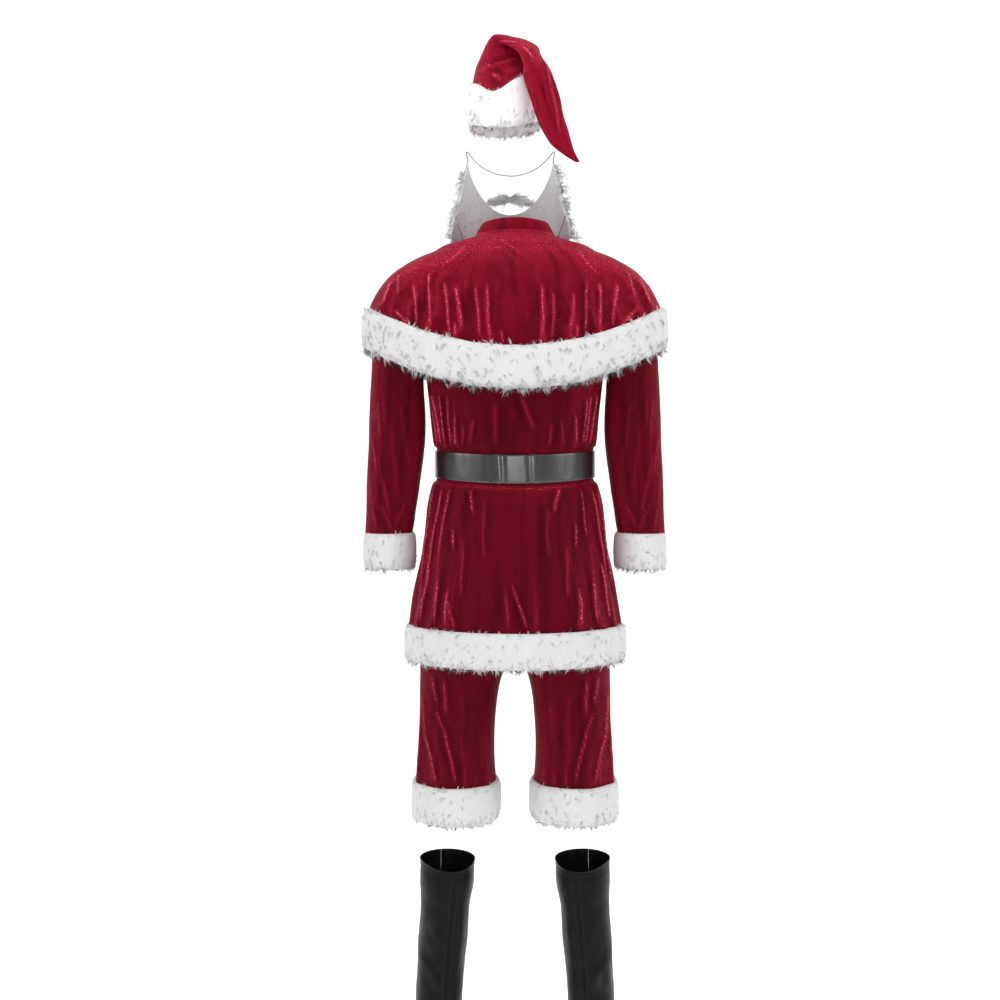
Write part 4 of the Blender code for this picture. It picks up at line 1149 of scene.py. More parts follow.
class Workroom:
    """The finishes, hair shapes and trees that every garment is made with."""

    def __init__(self) -> None:
        """Make all of them."""
        effects = SharedEffects()
        # The tunic, sleeves and trousers take a darker copy of the velvet as painted shade; the cape's and
        # the hat's copies are lighter, as painted light.
        self.velvet = VelvetFinish(
            deep=(0.054, 0.0005, 0.004), ground=(0.106, 0.0012, 0.008), brushed=(0.290, 0.010, 0.030),
            bright=(0.600, 0.085, 0.135),
        ).make(effects)
        self.cape_velvet = VelvetFinish(name="cape_velvet").make(effects)
        self.hat_velvet = VelvetFinish(
            name="hat_velvet", deep=(0.105, 0.001, 0.008), ground=(0.240, 0.0035, 0.018),
            brushed=(0.450, 0.020, 0.050), base_cover=0.04,
        ).make(effects)
        self.fur = FurFinish().make(effects)
        # The hat band's fur is a lighter copy of the fur, painted light, with no painted shade at its roots.
        self.hat_fur = FurFinish(
            name="white_hat_fur", root=(0.96, 0.96, 0.96), tip=(0.92, 0.92, 0.92)
        ).make(effects)
        # The beard's darker roots and clumps are painted shade.
        self.beard = FurFinish(
            name="beard_hair", root=(0.62, 0.625, 0.63), tip=(0.92, 0.92, 0.92), shade_depth=0.25,
            clumps=90.0, softness=1.0,
        ).make(effects)
        self.belt_leather = LeatherFinish(
            name="belt_leather", ground=(0.009, 0.0095, 0.010), roughness=(0.26, 0.38), relief=0.06,
            coat=0.60, gloss=0.9,
        ).make(effects)
        self.boot_leather = LeatherFinish(name="boot_leather", coat=0.0).make(effects)
        self.metal = MetalFinish().make(effects)
        self.backing = PlainClothFinish(name="beard_backing_cloth").make(effects)
        # The elastic is painted grey for the shade that falls on it.
        elastic_painted_shade = PlainClothFinish(name="elastic_braid", tone=(0.40, 0.40, 0.41), ribs=2600.0)
        self.elastic = elastic_painted_shade.make(effects)
        self.thread = PlainClothFinish(name="black_thread", tone=(0.02, 0.02, 0.021)).make(effects)
        self.red_thread = PlainClothFinish(name="red_thread", tone=(0.20, 0.004, 0.012)).make(effects)
        self.pile_tree = build_pile_tree()
        self.stitch_tree = build_stitch_tree()
        self.locks = LockShapes("fur_lock").make()
        self.lock_variants = LockShapes("fur_lock").variants
        curls = LockShapes(
            "curl", variants=8, strands=3, root_radius=0.019, thickness=1.0, spread=0.10, steep=(25.0, 60.0),
            flat=(-35.0, 25.0), turns=1.6, coil=0.135, points=11, seed=23,
        )
        self.curls, self.curl_variants = curls.make(), curls.variants

    def dress(self, piece: Object, finish: Material, slot: Slot, *nodes: str) -> Object:
        """Give a piece its finish, put it on the body and hide the nodes that it replaces.

        Args:
            piece: The piece.
            finish: Its material.
            slot: The record's slot for the piece's finish; not used.
            *nodes: The nodes that it replaces.

        Returns:
            The piece.
        """
        piece.data.materials.clear()
        piece.data.materials.append(finish)
        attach(piece, "root")
        if nodes:
            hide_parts(*nodes)
        report(piece)
        return piece

    def stitch(self, name: str, lines: Sequence[Array], finish: Material, slot: Slot) -> None:
        """Sew along lines.

        Args:
            name: The piece's name.
            lines: The points of each line, on the cloth.
            finish: The thread's material.
            slot: The record's slot of the cloth it is sewn on; not used.
        """
        points, edges = [], []
        for line in lines:
            first = len(points)
            points += np.asarray(line).tolist()
            edges += [(number, number + 1) for number in range(first, len(points) - 1)]
        mesh = bpy.data.meshes.new(name)
        mesh.from_pydata(points, edges, [])
        piece = put(name, mesh)
        run_tree(piece, self.stitch_tree, STITCH_SIZES | {"Finish": finish})
        self.dress(piece, finish, slot)


@dataclass(frozen=True)
class FurTrim:
    """A strip of fur that carries on downwards from a cloth's lower edge."""

    proud: float
    height: float
    pile: float
    density: float
    tousle: float = 1.0
    edge_pile: float = 1.1
    clump: float = 0.0018
    core: float = 0.62
    seed: int = 1
    upward: float = 0.35
    swirl: float = 0.6
    middle: float = 0.16
    # Whether the strip takes the lighter copy of the fur, painted light.
    bright: bool = False
    clump_cells: Triple = (38.0, 38.0, 30.0)
    tuft_cells: Triple = (90.0, 90.0, 80.0)
    swirl_cells: Triple = (30.0, 30.0, 22.0)
    section: tuple[Pair, ...] = (
        (0.00, 0.00), (0.50, 0.00), (0.84, 0.07), (1.00, 0.24), (1.04, 0.50), (0.96, 0.76), (0.62, 0.90),
        (0.20, 0.90), (0.00, 0.80), (0.00, 0.40),
    )
    section_steps: int = 2

    def core_grid(
        self, edge: Array, out: Array, wall: float, strength: Array | float, longer: Array | float
    ) -> tuple[Array, Array]:
        """Points of the strip's body, round its section and along it, and the level way out."""
        down = np.array((0.0, 0.0, -1.0))
        level = levelled(out)
        proud = np.broadcast_to(self.proud * np.asarray(strength), edge.shape[:1])[:, None]
        inner = edge - wall * out + down * SEAM_GAP
        ring = np.array(self.section + self.section[:1])
        ring = smooth_rows(ring, np.linspace(0, len(ring) - 1, (len(ring) - 1) * self.section_steps + 1))[:-1]
        tall = np.broadcast_to(self.height + np.asarray(longer), edge.shape[:1])[:, None]
        rows = [
            inner + level * (across * (self.core * proud + wall)) + down * (along * tall)
            for across, along in ring
        ]
        return np.array(rows), level

    def build(
        self, room: Workroom, name: str, edge: Array, out: Array, wall: float, share: Array | float = 1.0,
        longer: Array | float = 0.0,
    ) -> Object:
        """Make the strip all round a closed edge.

        Args:
            room: The workroom.
            name: The node that the fur stands for.
            edge: The cloth's lower edge, anticlockwise from above, with no repeated point.
            out: Unit normals there.
            wall: The cloth's thickness.
            share: How much of its full depth the strip has along the edge.
            longer: What the strip reaches down there beyond its height.

        Returns:
            The finished fur.
        """
        grid, level = self.core_grid(edge, out, wall, share, longer)
        depth_share = 0.9 * (grid[..., 2].max(axis=0) - grid[..., 2]) / np.ptp(grid[..., 2], axis=0)
        middle = grid.mean(axis=0)
        away = unit(grid - middle)
        outside = smoothstep((away * level).sum(axis=-1), -0.25, 0.35)
        under = smoothstep(-away[..., 2], 0.35, 0.85)
        clumps = noise_field(grid, self.clump_cells, self.seed * 3.1)
        fine = noise_field(grid, self.tuft_cells, self.seed * 5.7)
        swell = self.clump * (clumps + 0.5 * fine) * np.maximum(outside, 0.2)
        grid = grid + away * swell[..., None]
        mesh = wrapped_mesh(f"{name}_pile", grid)
        lower, upper = smoothstep(depth_share, 0.55, 0.95), 1 - smoothstep(depth_share, 0.02, 0.22)
        lift = np.stack([0 * lower, 0 * lower, -1.0 + (1.0 + self.upward) * upper], axis=-1)
        side = np.cross(level, np.array((0.0, 0.0, 1.0)))
        swirl = noise_field(grid, self.swirl_cells, self.seed * 7.9)[..., None]
        comb = unit(level * (0.10 + 0.3 * upper[..., None]) + lift + self.swirl * swirl * side)
        values = {
            "cover": np.maximum(outside * (self.middle + 1.6 * lower + 1.7 * upper), 1.5 * under),
            "pile": (0.92 + (self.edge_pile - 0.92) * lower - 0.12 * upper) * (1 + 0.22 * clumps),
            # The strip's body takes a colour near the roots'; with a darker root colour this is painted shade
            # under the strands.
            "along": 0.18 + 0 * lower,
        }
        for label, amounts in values.items():
            store(mesh, label, amounts)
        store(mesh, "comb", comb, "FLOAT_VECTOR")
        piece = put(mesh.name, mesh)
        settings = {"Locks": room.locks, "Density": self.density, "Length": self.pile, "Tousle": self.tousle}
        finish = room.hat_fur if self.bright else room.fur
        settings |= {"Variants": room.lock_variants - 1, "Seed": self.seed, "Finish": finish}
        run_tree(piece, room.pile_tree, settings)
        return room.dress(piece, finish, Slot.FUR, name)


TUNIC_LEVELS = in_metres(
    Level,
    (-12, 72.5, -9, 62, -24, 70), (-21.5, 103.5, -19.5, 81.5, -34, 86.5),
    (-37.5, 145, -37.5, 99, -51.5, 101), (-90, 166, -85, 110, -100, 111), (-150, 168, -145, 118, -155, 120),
    (-212, 165, -205, 120, -210, 124), (-270, 160, -265, 116, -268, 121),
    (-330, 153.5, -330, 109, -330, 114), (-383, 148.5, -389, 105, -386, 109),
    (-397, 142.5, -404, 99, -400, 103), (-446, 142.5, -453.5, 99, -449, 103),
    (-460, 151, -468, 107, -463, 111), (-500, 159.5, -505, 119, -502, 120),
    (-570, 165, -571, 133, -570, 131), (-642, 178, -642, 146, -642, 143),
    (-709, 189.5, -709, 155.5, -709, 152),
)
TUNIC_GATHERS = (
    Fold(20, 4.5, 0.0035, 6.0, 8), Fold(33, 4.5, 0.0045, 5.6, 8), Fold(46, 4.5, 0.0030, 6.4, 8),
    Fold(133, 4.5, 0.0035, 6.2, 8), Fold(146, 4.5, 0.0045, 5.6, 8), Fold(159, 4.5, 0.0035, 6.0, 8),
    Fold(204, 4.5, 0.0035, 6.0, 8), Fold(218, 4.5, 0.0040, 5.8, 8), Fold(236, 4.5, 0.0030, 6.4, 8),
    Fold(304, 4.5, 0.0030, 6.4, 8), Fold(322, 4.5, 0.0040, 5.8, 8), Fold(336, 4.5, 0.0035, 6.0, 8),
)
SKIRT_FOLDS = (
    Fold(10, 5.0, 0.0050, 11.0, 14), Fold(24, 4.5, 0.0060, 11.0, 13), Fold(38, 4.5, 0.0050, 11.0, 15),
    Fold(53, 4.5, 0.0030, 11.0, 15), Fold(100, 5.0, 0.0030, 12.8, 15), Fold(126, 4.5, 0.0030, 11.0, 15),
    Fold(142, 4.5, 0.0050, 11.0, 15), Fold(156, 4.5, 0.0060, 11.0, 13), Fold(170, 5.0, 0.0050, 11.0, 14),
    Fold(200, 5.0, 0.0045, 11.0, 14), Fold(220, 5.0, 0.0050, 11.0, 15), Fold(242, 5.0, 0.0035, 11.0, 15),
    Fold(298, 5.0, 0.0035, 11.0, 15), Fold(320, 5.0, 0.0050, 11.0, 15), Fold(340, 5.0, 0.0045, 11.0, 14),
)
UPPER_CREASES = in_metres(
    Crease,
    (155, -291, 139, -390, 3.2, 2.6, 1), (150, -292, 131, -392, 3.2, 2.2, 0),
    (136, -296, 124, -392, 3.2, 2.2, 0), (121, -296, 115, -392, 3.2, 1.6, 0),
    (106, -332, 107, -392, 3.2, 2, 0), (73, -339, 82, -384, 3.7, 1.1, 0), (92, -351, 94, -390, 3.2, 1, 0),
    (-148, -294, -131, -392, 3.2, 2.2, 0), (-136, -296, -124, -392, 3.2, 2, 0),
    (-127, -301, -120, -392, 3.2, 2, 0), (-105, -333, -109, -388, 3.2, 1.8, 0),
    (-64, -351, -60, -388, 3.7, 1, 0), (-81, -344, -84, -388, 3.2, 0.9, 0),
    (6, -295, -23, -360, 6.3, -1.6, 0), (-6, -294, -36, -363, 5.6, 1, 0), (34, -308, 38, -388, 6.9, 0.7, 0),
)
SKIRT_CREASES = in_metres(
    Crease,
    (143, -457, 171, -650, 4, 2.6, -3), (128, -458, 159, -635, 3.7, 2.6, -2),
    (116, -459, 139, -590, 3.2, 1.6, 0), (110, -532, 108, -567, 3.2, 1.8, 0),
    (78, -463, 75, -507, 3.7, 1.8, 0), (150, -591, 170, -701, 4.2, 2.4, 0),
    (137, -615, 143, -704, 3.7, 1.8, 1), (117, -636, 122, -705, 4, 1.8, -2),
    (118, -657, 106, -707, 3.2, 1.6, 0), (92, -552, 95, -655, 4.2, 1, 0), (55, -482, 57, -585, 5, 0.7, 0),
    (-146, -457, -172, -647, 4, 2.6, 3), (-135, -458, -162, -627, 3.7, 2.6, 2),
    (-115, -461, -126, -554, 3.2, 1.6, 0), (-105, -520, -106, -566, 3.2, 1.8, 0),
    (-78, -463, -65, -506, 3.7, 1.8, 0), (-151, -591, -168, -701, 4.2, 2.4, 0),
    (-135, -615, -145, -704, 3.7, 1.8, -1), (-109, -635, -114, -704, 4, 1.8, 2),
    (-118, -653, -105, -707, 3.2, 1.6, 0), (-88, -560, -91, -655, 4.2, 1, 0),
    (-55, -491, -56, -585, 5, 0.7, 0), (7, -626, -19, -705, 3.5, 2.2, 1.5), (17, -636, 14, -704, 5, 1, 0),
    (-0, -653, -14, -707, 5, -1.4, 0),
)
SLEEVE_CREASES = in_metres(
    Crease,
    (246, -302, 244, -378, 4.5, 0.8, 1), (234, -297, 236, -351, 3.7, 0.6, 0),
    (258, -378, 246, -446, 3.7, 0.8, 0), (248, -399, 233, -467, 3.7, 0.6, 0),
    (235, -449, 226, -512, 4, 0.8, 0), (262, -446, 258, -495, 3.7, 0.6, 0),
    (241, -494, 221, -541, 3.2, 0.9, 1), (258, -495, 246, -539, 3.5, 0.8, 0),
    (198, -494, 219, -537, 4, 0.7, 0), (209, -306, 191, -431, 6.3, 0.4, 2),
    (223, -342, 210, -485, 5.6, 0.3, 0), (185, -387, 191, -486, 4.5, -0.6, 0),
)
CAPE_FREE_LEVELS = in_metres(
    Level,
    (-53.5, 190, -61, 115, -73.5, 115), (-72.5, 219, -89, 125, -100, 124), (-92, 238, -119, 133, -128, 131),
    (-109, 250, -150, 140, -156, 137), (-124, 258.5, -182, 146, -184, 142),
    (-138, 265, -214, 151, -213, 147),
)
CAPE_FOLDS = (
    Fold(24, 4.0, 0.0040, 3.5, 8), Fold(34, 4.0, 0.0050, 3.0, 8), Fold(45, 4.2, 0.0050, 3.5, 8),
    Fold(56, 4.2, 0.0055, 2.8, 8), Fold(67, 4.0, 0.0050, 3.2, 8), Fold(79, 4.0, 0.0050, 3.4, 8),
    Fold(101, 4.2, 0.0055, 3.0, 8), Fold(112, 4.0, 0.0050, 3.6, 8), Fold(122, 4.0, 0.0050, 3.0, 8),
    Fold(134, 4.2, 0.0050, 3.4, 8), Fold(146, 4.0, 0.0045, 3.2, 8), Fold(158, 4.0, 0.0040, 3.8, 8),
    Fold(202, 4.2, 0.0040, 3.6, 8), Fold(214, 4.2, 0.0050, 3.2, 8), Fold(228, 4.2, 0.0050, 3.0, 8),
    Fold(242, 4.2, 0.0045, 3.4, 8), Fold(255, 4.2, 0.0040, 3.2, 8), Fold(287, 4.2, 0.0040, 3.4, 8),
    Fold(300, 4.2, 0.0045, 3.0, 8), Fold(313, 4.2, 0.0050, 3.4, 8), Fold(327, 4.2, 0.0050, 3.2, 8),
    Fold(339, 4.2, 0.0040, 3.6, 8),
)
CAPE_CREASES = in_metres(
    Crease,
    (222, -96, 234, -138, 3.2, 2, 0), (213, -148, 185, -178, 3.2, 2.2, 0),
    (181, -103, 171, -182, 3.2, 2.6, 2), (210, -80, 206, -132, 3.2, 1.2, 0),
    (151, -81, 146, -188, 3.2, 2.8, -1.5), (125, -100, 113, -200, 3.2, 2.4, 1),
    (107, -110, 92, -192, 3.5, 2.8, 3), (105, -174, 104, -202, 3.2, 1.8, 0),
    (70, -107, 61, -206, 3.7, 1.6, 0), (50, -104, 43, -211, 3.7, 2.8, -1.5),
    (27, -189, 22, -213, 3.2, 1.6, 0), (-46, -104, -43, -211, 3.7, 2.8, 2),
    (-66, -119, -62, -210, 3.7, 1.4, 0), (-100, -122, -93, -192, 3.2, 2.8, 1.5),
    (-105, -176, -105, -202, 3.2, 1.6, 0), (-125, -98, -120, -198, 3.2, 2.6, -1),
    (-148, -101, -147, -191, 3.2, 2.8, -1.5), (-180, -99, -168, -183, 3.2, 2.4, -1),
    (-216, -143, -188, -176, 3.2, 2.2, 0), (-225, -92, -240, -137, 3.2, 2, 0),
    (-201, -77, -211, -132, 3.5, 1.2, 0), (85, -28, 137, -80, 4.2, 0.6, 4),
    (-110, -38, -150, -94, 4.2, 0.6, -3), (27, -22, -14, -60, 4, 0.5, 0), (20, -44, -7, -78, 4.2, 0.4, 0),
    (12, -49, 2, -137, 6.3, -1.2, 0), (-30, -70, -19, -137, 5.6, -0.9, 0),
)
LEG_CREASES = in_metres(
    Crease,
    (147, -795, 138, -846, 4, 1.5, 0), (125, -794, 122, -864, 4.2, 1.5, -1.5),
    (142, -856, 125, -893, 3.5, 1.2, 0), (129, -879, 106, -988, 4, 1.6, 2),
    (165, -829, 163, -909, 3.5, 1.2, 0), (164, -897, 138, -992, 4.2, 1.6, 2),
    (153, -946, 149, -992, 3.7, 0.7, 0), (171, -852, 174, -957, 3.7, 0.9, 0),
    (93, -820, 93, -965, 6.3, 0.4, 0), (63, -823, 60, -970, 6.3, 0.3, 0), (91, -956, 88, -993, 3.2, 0.6, 0),
    (67, -965, 70, -991, 3.2, 0.6, 0),
)
BOOT_CREASES = in_metres(
    Crease,
    (155, -1321, 135, -1369, 6.3, 2.2, 3), (144, -1258, 125, -1290, 6.3, 1.8, 0),
    (118, -1275, 127, -1303, 5, -1.6, 0), (163, -1300, 144, -1313, 6.3, -1.2, 0),
    (124, -1369, 135, -1391, 5, 2, 0), (114, -1210, 118, -1238, 5.6, 1.2, 0),
    (97, -1252, 104, -1326, 6.3, 0.8, 0),
)


@dataclass(frozen=True)
class TunicShape:
    """The tunic's outer surface: gathers above the belt, and folds below it."""

    gathered: BodySurface = BodySurface(TUNIC_LEVELS, TUNIC_GATHERS, fade_from=8.0, fade_to=8.9)
    skirted: BodySurface = BodySurface(TUNIC_LEVELS, SKIRT_FOLDS)
    waist_row: float = 9.5

    def __call__(self, angle: Array, row: Array) -> Array:
        """Outer points at angles round the body and rows down it."""
        angle, row = np.broadcast_arrays(np.asarray(angle, float), np.asarray(row, float))
        above = (row <= self.waist_row)[..., None]
        return np.where(above, self.gathered(angle, row), self.skirted(angle, row))

    def crests(self, angle: Array, row: Array) -> Array:
        """The mask of painted highlight on the fold ridges."""
        above = row <= self.waist_row
        return np.where(above, self.gathered.crests(angle, row), self.skirted.crests(angle, row))

    def hollows(self, angle: Array, row: Array) -> Array:
        """The mask of painted shade in the dips between folds."""
        above = row <= self.waist_row
        return np.where(above, self.gathered.hollows(angle, row), self.skirted.hollows(angle, row))


class SleeveRing(NamedTuple):
    """One ring of the left sleeve, from its outermost to its innermost point."""

    outer_x: float
    outer_z: float
    inner_x: float
    inner_z: float
    half_depth: float


@dataclass
class Tunic:
    """The belted tunic: four panels, two sleeves, and fur round its hem and its wrists."""

    shape: TunicShape = TunicShape()
    armhole_rows: Pair = (2.0, 5.0)
    armhole_half_angle: float = math.radians(28.0)
    panel_columns: int = 120
    steps_per_row: int = 7
    sleeve_columns: int = 130
    sleeve_steps: int = 7
    under_cape: float = 0.0012
    unevenness: tuple[Swell, ...] = (Swell(0.0016, (17, 17, 6)), Swell(0.0006, (60, 60, 16), 3))
    sleeve_unevenness: tuple[Swell, ...] = (Swell(0.0020, (15, 15, 6)), Swell(0.0007, (60, 60, 18), 6))
    sleeve: tuple[SleeveRing, ...] = in_metres(
        SleeveRing,
        (172, -49.5, 173, -215, 59), (196.5, -65, 173.5, -222, 60), (218.5, -85.5, 170.5, -234, 60),
        (235.5, -111, 167.5, -250, 59.5), (247.5, -142, 165, -272, 58.5), (254.5, -190, 163.2, -300, 57.5),
        (260, -245, 162.2, -332, 56), (264, -310, 162.2, -368, 54), (266.2, -372, 165, -405, 52),
        (268.5, -430, 171.2, -445, 50), (270.5, -488, 177, -490, 48), (272.5, -546, 186.5, -546, 46),
    )
    hem_fur: FurTrim = FurTrim(
        proud=0.0135, height=0.069, pile=0.0150, density=19000, tousle=0.8, edge_pile=1.25,
        clump=0.0012, seed=4, core=0.62, upward=0.60,
    )
    wrist_fur: FurTrim = FurTrim(
        proud=0.0072, height=0.070, pile=0.0125, density=20000, tousle=1.2, edge_pile=1.2,
        clump=0.0008, seed=6, core=0.70,
    )
    hem_points: int = 300
    wrist_lean: float = 0.32
    sleeve_seed: float = 31.0
    panel_cut: Pair = (0.300, 0.730)
    panel_area: float = 0.160
    sleeve_cut: Pair = (0.380, 0.520)
    sleeve_area: float = 0.150

    def seam_angle(self, row: Array) -> Array:
        """How far from the side a panel's edge lies, where the armhole is cut out of it."""
        top, bottom = self.armhole_rows
        across = 1 - 2 * (row - top) / (bottom - top)
        return self.armhole_half_angle * np.sqrt(np.clip(1 - across**2, 0.0, 1.0))

    def panel_rows(self) -> Array:
        """Row numbers down a panel, closer together where the armhole's edge turns."""
        top, bottom = self.armhole_rows
        turn = np.linspace(0.0, math.pi, 23)
        around = top + (bottom - top) * (1 - np.cos(turn)) / 2
        plain = spread_rows(len(TUNIC_LEVELS) - 1, self.steps_per_row)
        plain = plain[(plain < top) | (plain > bottom)]
        return np.sort(np.concatenate([plain, around]))

    def panel(self, start: Edge, end: Edge, behind: bool, seed: float) -> ClothGrid:
        """One panel.

        Args:
            start: The angle of its first edge at each row.
            end: The angle of its last edge at each row.
            behind: Whether it is a back panel.
            seed: Its own pattern of unevenness.

        Returns:
            The panel's grid, with its folds and creases.
        """
        rows = self.panel_rows()
        share = np.linspace(0.0, 1.0, self.panel_columns + 1)
        first, last = start(rows)[:, None], end(rows)[:, None]
        angles = first + (last - first) * share
        down = np.broadcast_to(rows[:, None], angles.shape)
        grid = ClothGrid(self.shape(angles, down))
        # Painted highlight on the fold ridges, and painted shade in the dips beside them.
        grid.crest, grid.hollow = 0.4 * self.shape.crests(angles, down), self.shape.hollows(angles, down)
        yoke = 1 - smoothstep(down, 1.4, 3.0)
        belt = smoothstep(down, 8.3, 8.9) * (1 - smoothstep(down, 10.1, 10.7))
        edge = smoothstep(share, 0.0, 0.08) * smoothstep(1 - share, 0.0, 0.08)
        hem = 1 - smoothstep(down, 14.2, 15.0)
        free = (1 - yoke) * (1 - belt) * np.maximum(edge, 0.2) * np.maximum(hem, 0.25)
        grid.crumple(self.unevenness, seed, free)
        for creases in (UPPER_CREASES, SKIRT_CREASES):
            grid.crease(creases, behind, mirrored=not behind, drop=0.0 if behind else 0.006)
        grid.raise_by(-self.under_cape * smoothstep(down, 0.4, 1.2) * (1 - smoothstep(down, 3.0, 4.2)))
        grid.press_seam(True, True)
        grid.trim()
        return grid

    def sleeve_grid(self) -> ClothGrid:
        """The left sleeve, from the armhole's seam to the wrist."""
        turn = np.linspace(0.0, TURN, self.sleeve_columns + 1)
        top, bottom = self.armhole_rows
        rows = (top + bottom) / 2 - (bottom - top) / 2 * np.cos(turn)
        angles = self.armhole_half_angle * np.sin(turn)
        seam, out = self.shape(angles, rows), outward(self.shape, angles, rows)
        inward = seam[:-1].mean(axis=0) - seam
        inward -= (inward * out).sum(axis=1, keepdims=True) * out
        rings = [seam + unit(inward) * SEAM_GAP]
        for ring in self.sleeve:
            outer = np.array((ring.outer_x, 0.0, ring.outer_z))
            inner = np.array((ring.inner_x, 0.0, ring.inner_z))
            reach, depth = (outer - inner) / 2, np.array((0.0, ring.half_depth, 0.0))
            middle = (outer + inner) / 2
            rings.append(middle + np.cos(turn)[:, None] * reach + np.sin(turn)[:, None] * depth)
        down = spread_rows(len(rings) - 1, self.sleeve_steps)
        points = smooth_rows(np.array(rings), down)
        near_seam = smoothstep(down, 0.9, 2.2)[:, None, None]
        points = near_seam * points + (1 - near_seam) * straight_rows(np.array(rings), down)
        grid = ClothGrid(points, closed=True)
        free = (smoothstep(down, 0.8, 2.5) * (1 - 0.75 * smoothstep(down, 11.2, 12.0)))[:, None]
        grid.crumple(self.sleeve_unevenness, self.sleeve_seed, free)
        grid.crease(SLEEVE_CREASES)
        grid.crease(SLEEVE_CREASES, behind=False, drop=0.010)
        return grid

    def build(self, room: Workroom) -> None:
        """Make every piece of the tunic."""
        quarter, half = math.pi / 2, math.pi
        edge = self.seam_angle
        panels = {
            "tunic_back_left": (edge, lambda row: quarter + 0 * row, True),
            "tunic_back_right": (lambda row: quarter + 0 * row, lambda row: half - edge(row), True),
            "tunic_front_right": (lambda row: half + edge(row), lambda row: 3 * quarter + 0 * row, False),
            "tunic_front_left": (lambda row: 3 * quarter + 0 * row, lambda row: 2 * half - edge(row), False),
        }
        hem = self.build_hem_fur(room)
        for number, (name, (start, end, behind)) in enumerate(panels.items()):
            grid = self.panel(start, end, behind, 5.0 * number)
            piece = room.dress(grid.build(name, VELVET_WALL), room.velvet, Slot.VELVET, name)
        left = self.sleeve_grid()
        for side, grid in (("left", left), ("right", left.mirrored())):
            name = f"sleeve_{side}"
            piece = room.dress(grid.build(name, VELVET_WALL), room.velvet, Slot.VELVET, name)
            fur = self.build_wrist_fur(room, grid, side)

    def build_hem_fur(self, room: Workroom) -> Object:
        """The fur round the tunic's hem."""
        angle = np.linspace(0.0, TURN, self.hem_points, endpoint=False)
        row = np.full(angle.shape, len(TUNIC_LEVELS) - 1.0)
        edge, out = self.shape(angle, row), outward(self.shape, angle, row - 1e-3)
        return self.hem_fur.build(room, "tunic_hem_fur", edge, out, VELVET_WALL)

    def build_wrist_fur(self, room: Workroom, grid: ClothGrid, side: str) -> Object:
        """The fur round one wrist, thinner on its outer side."""
        edge, out = grid.points[-1, :-1], grid.normals()[-1, :-1]
        middle_x = edge[:, 0].mean()
        across = (edge[:, 0] - middle_x) / np.abs(edge[:, 0] - middle_x).max() * math.copysign(1.0, middle_x)
        share = 1 - self.wrist_lean * across
        return self.wrist_fur.build(room, f"wrist_fur_{side}", edge, out, VELVET_WALL, share)


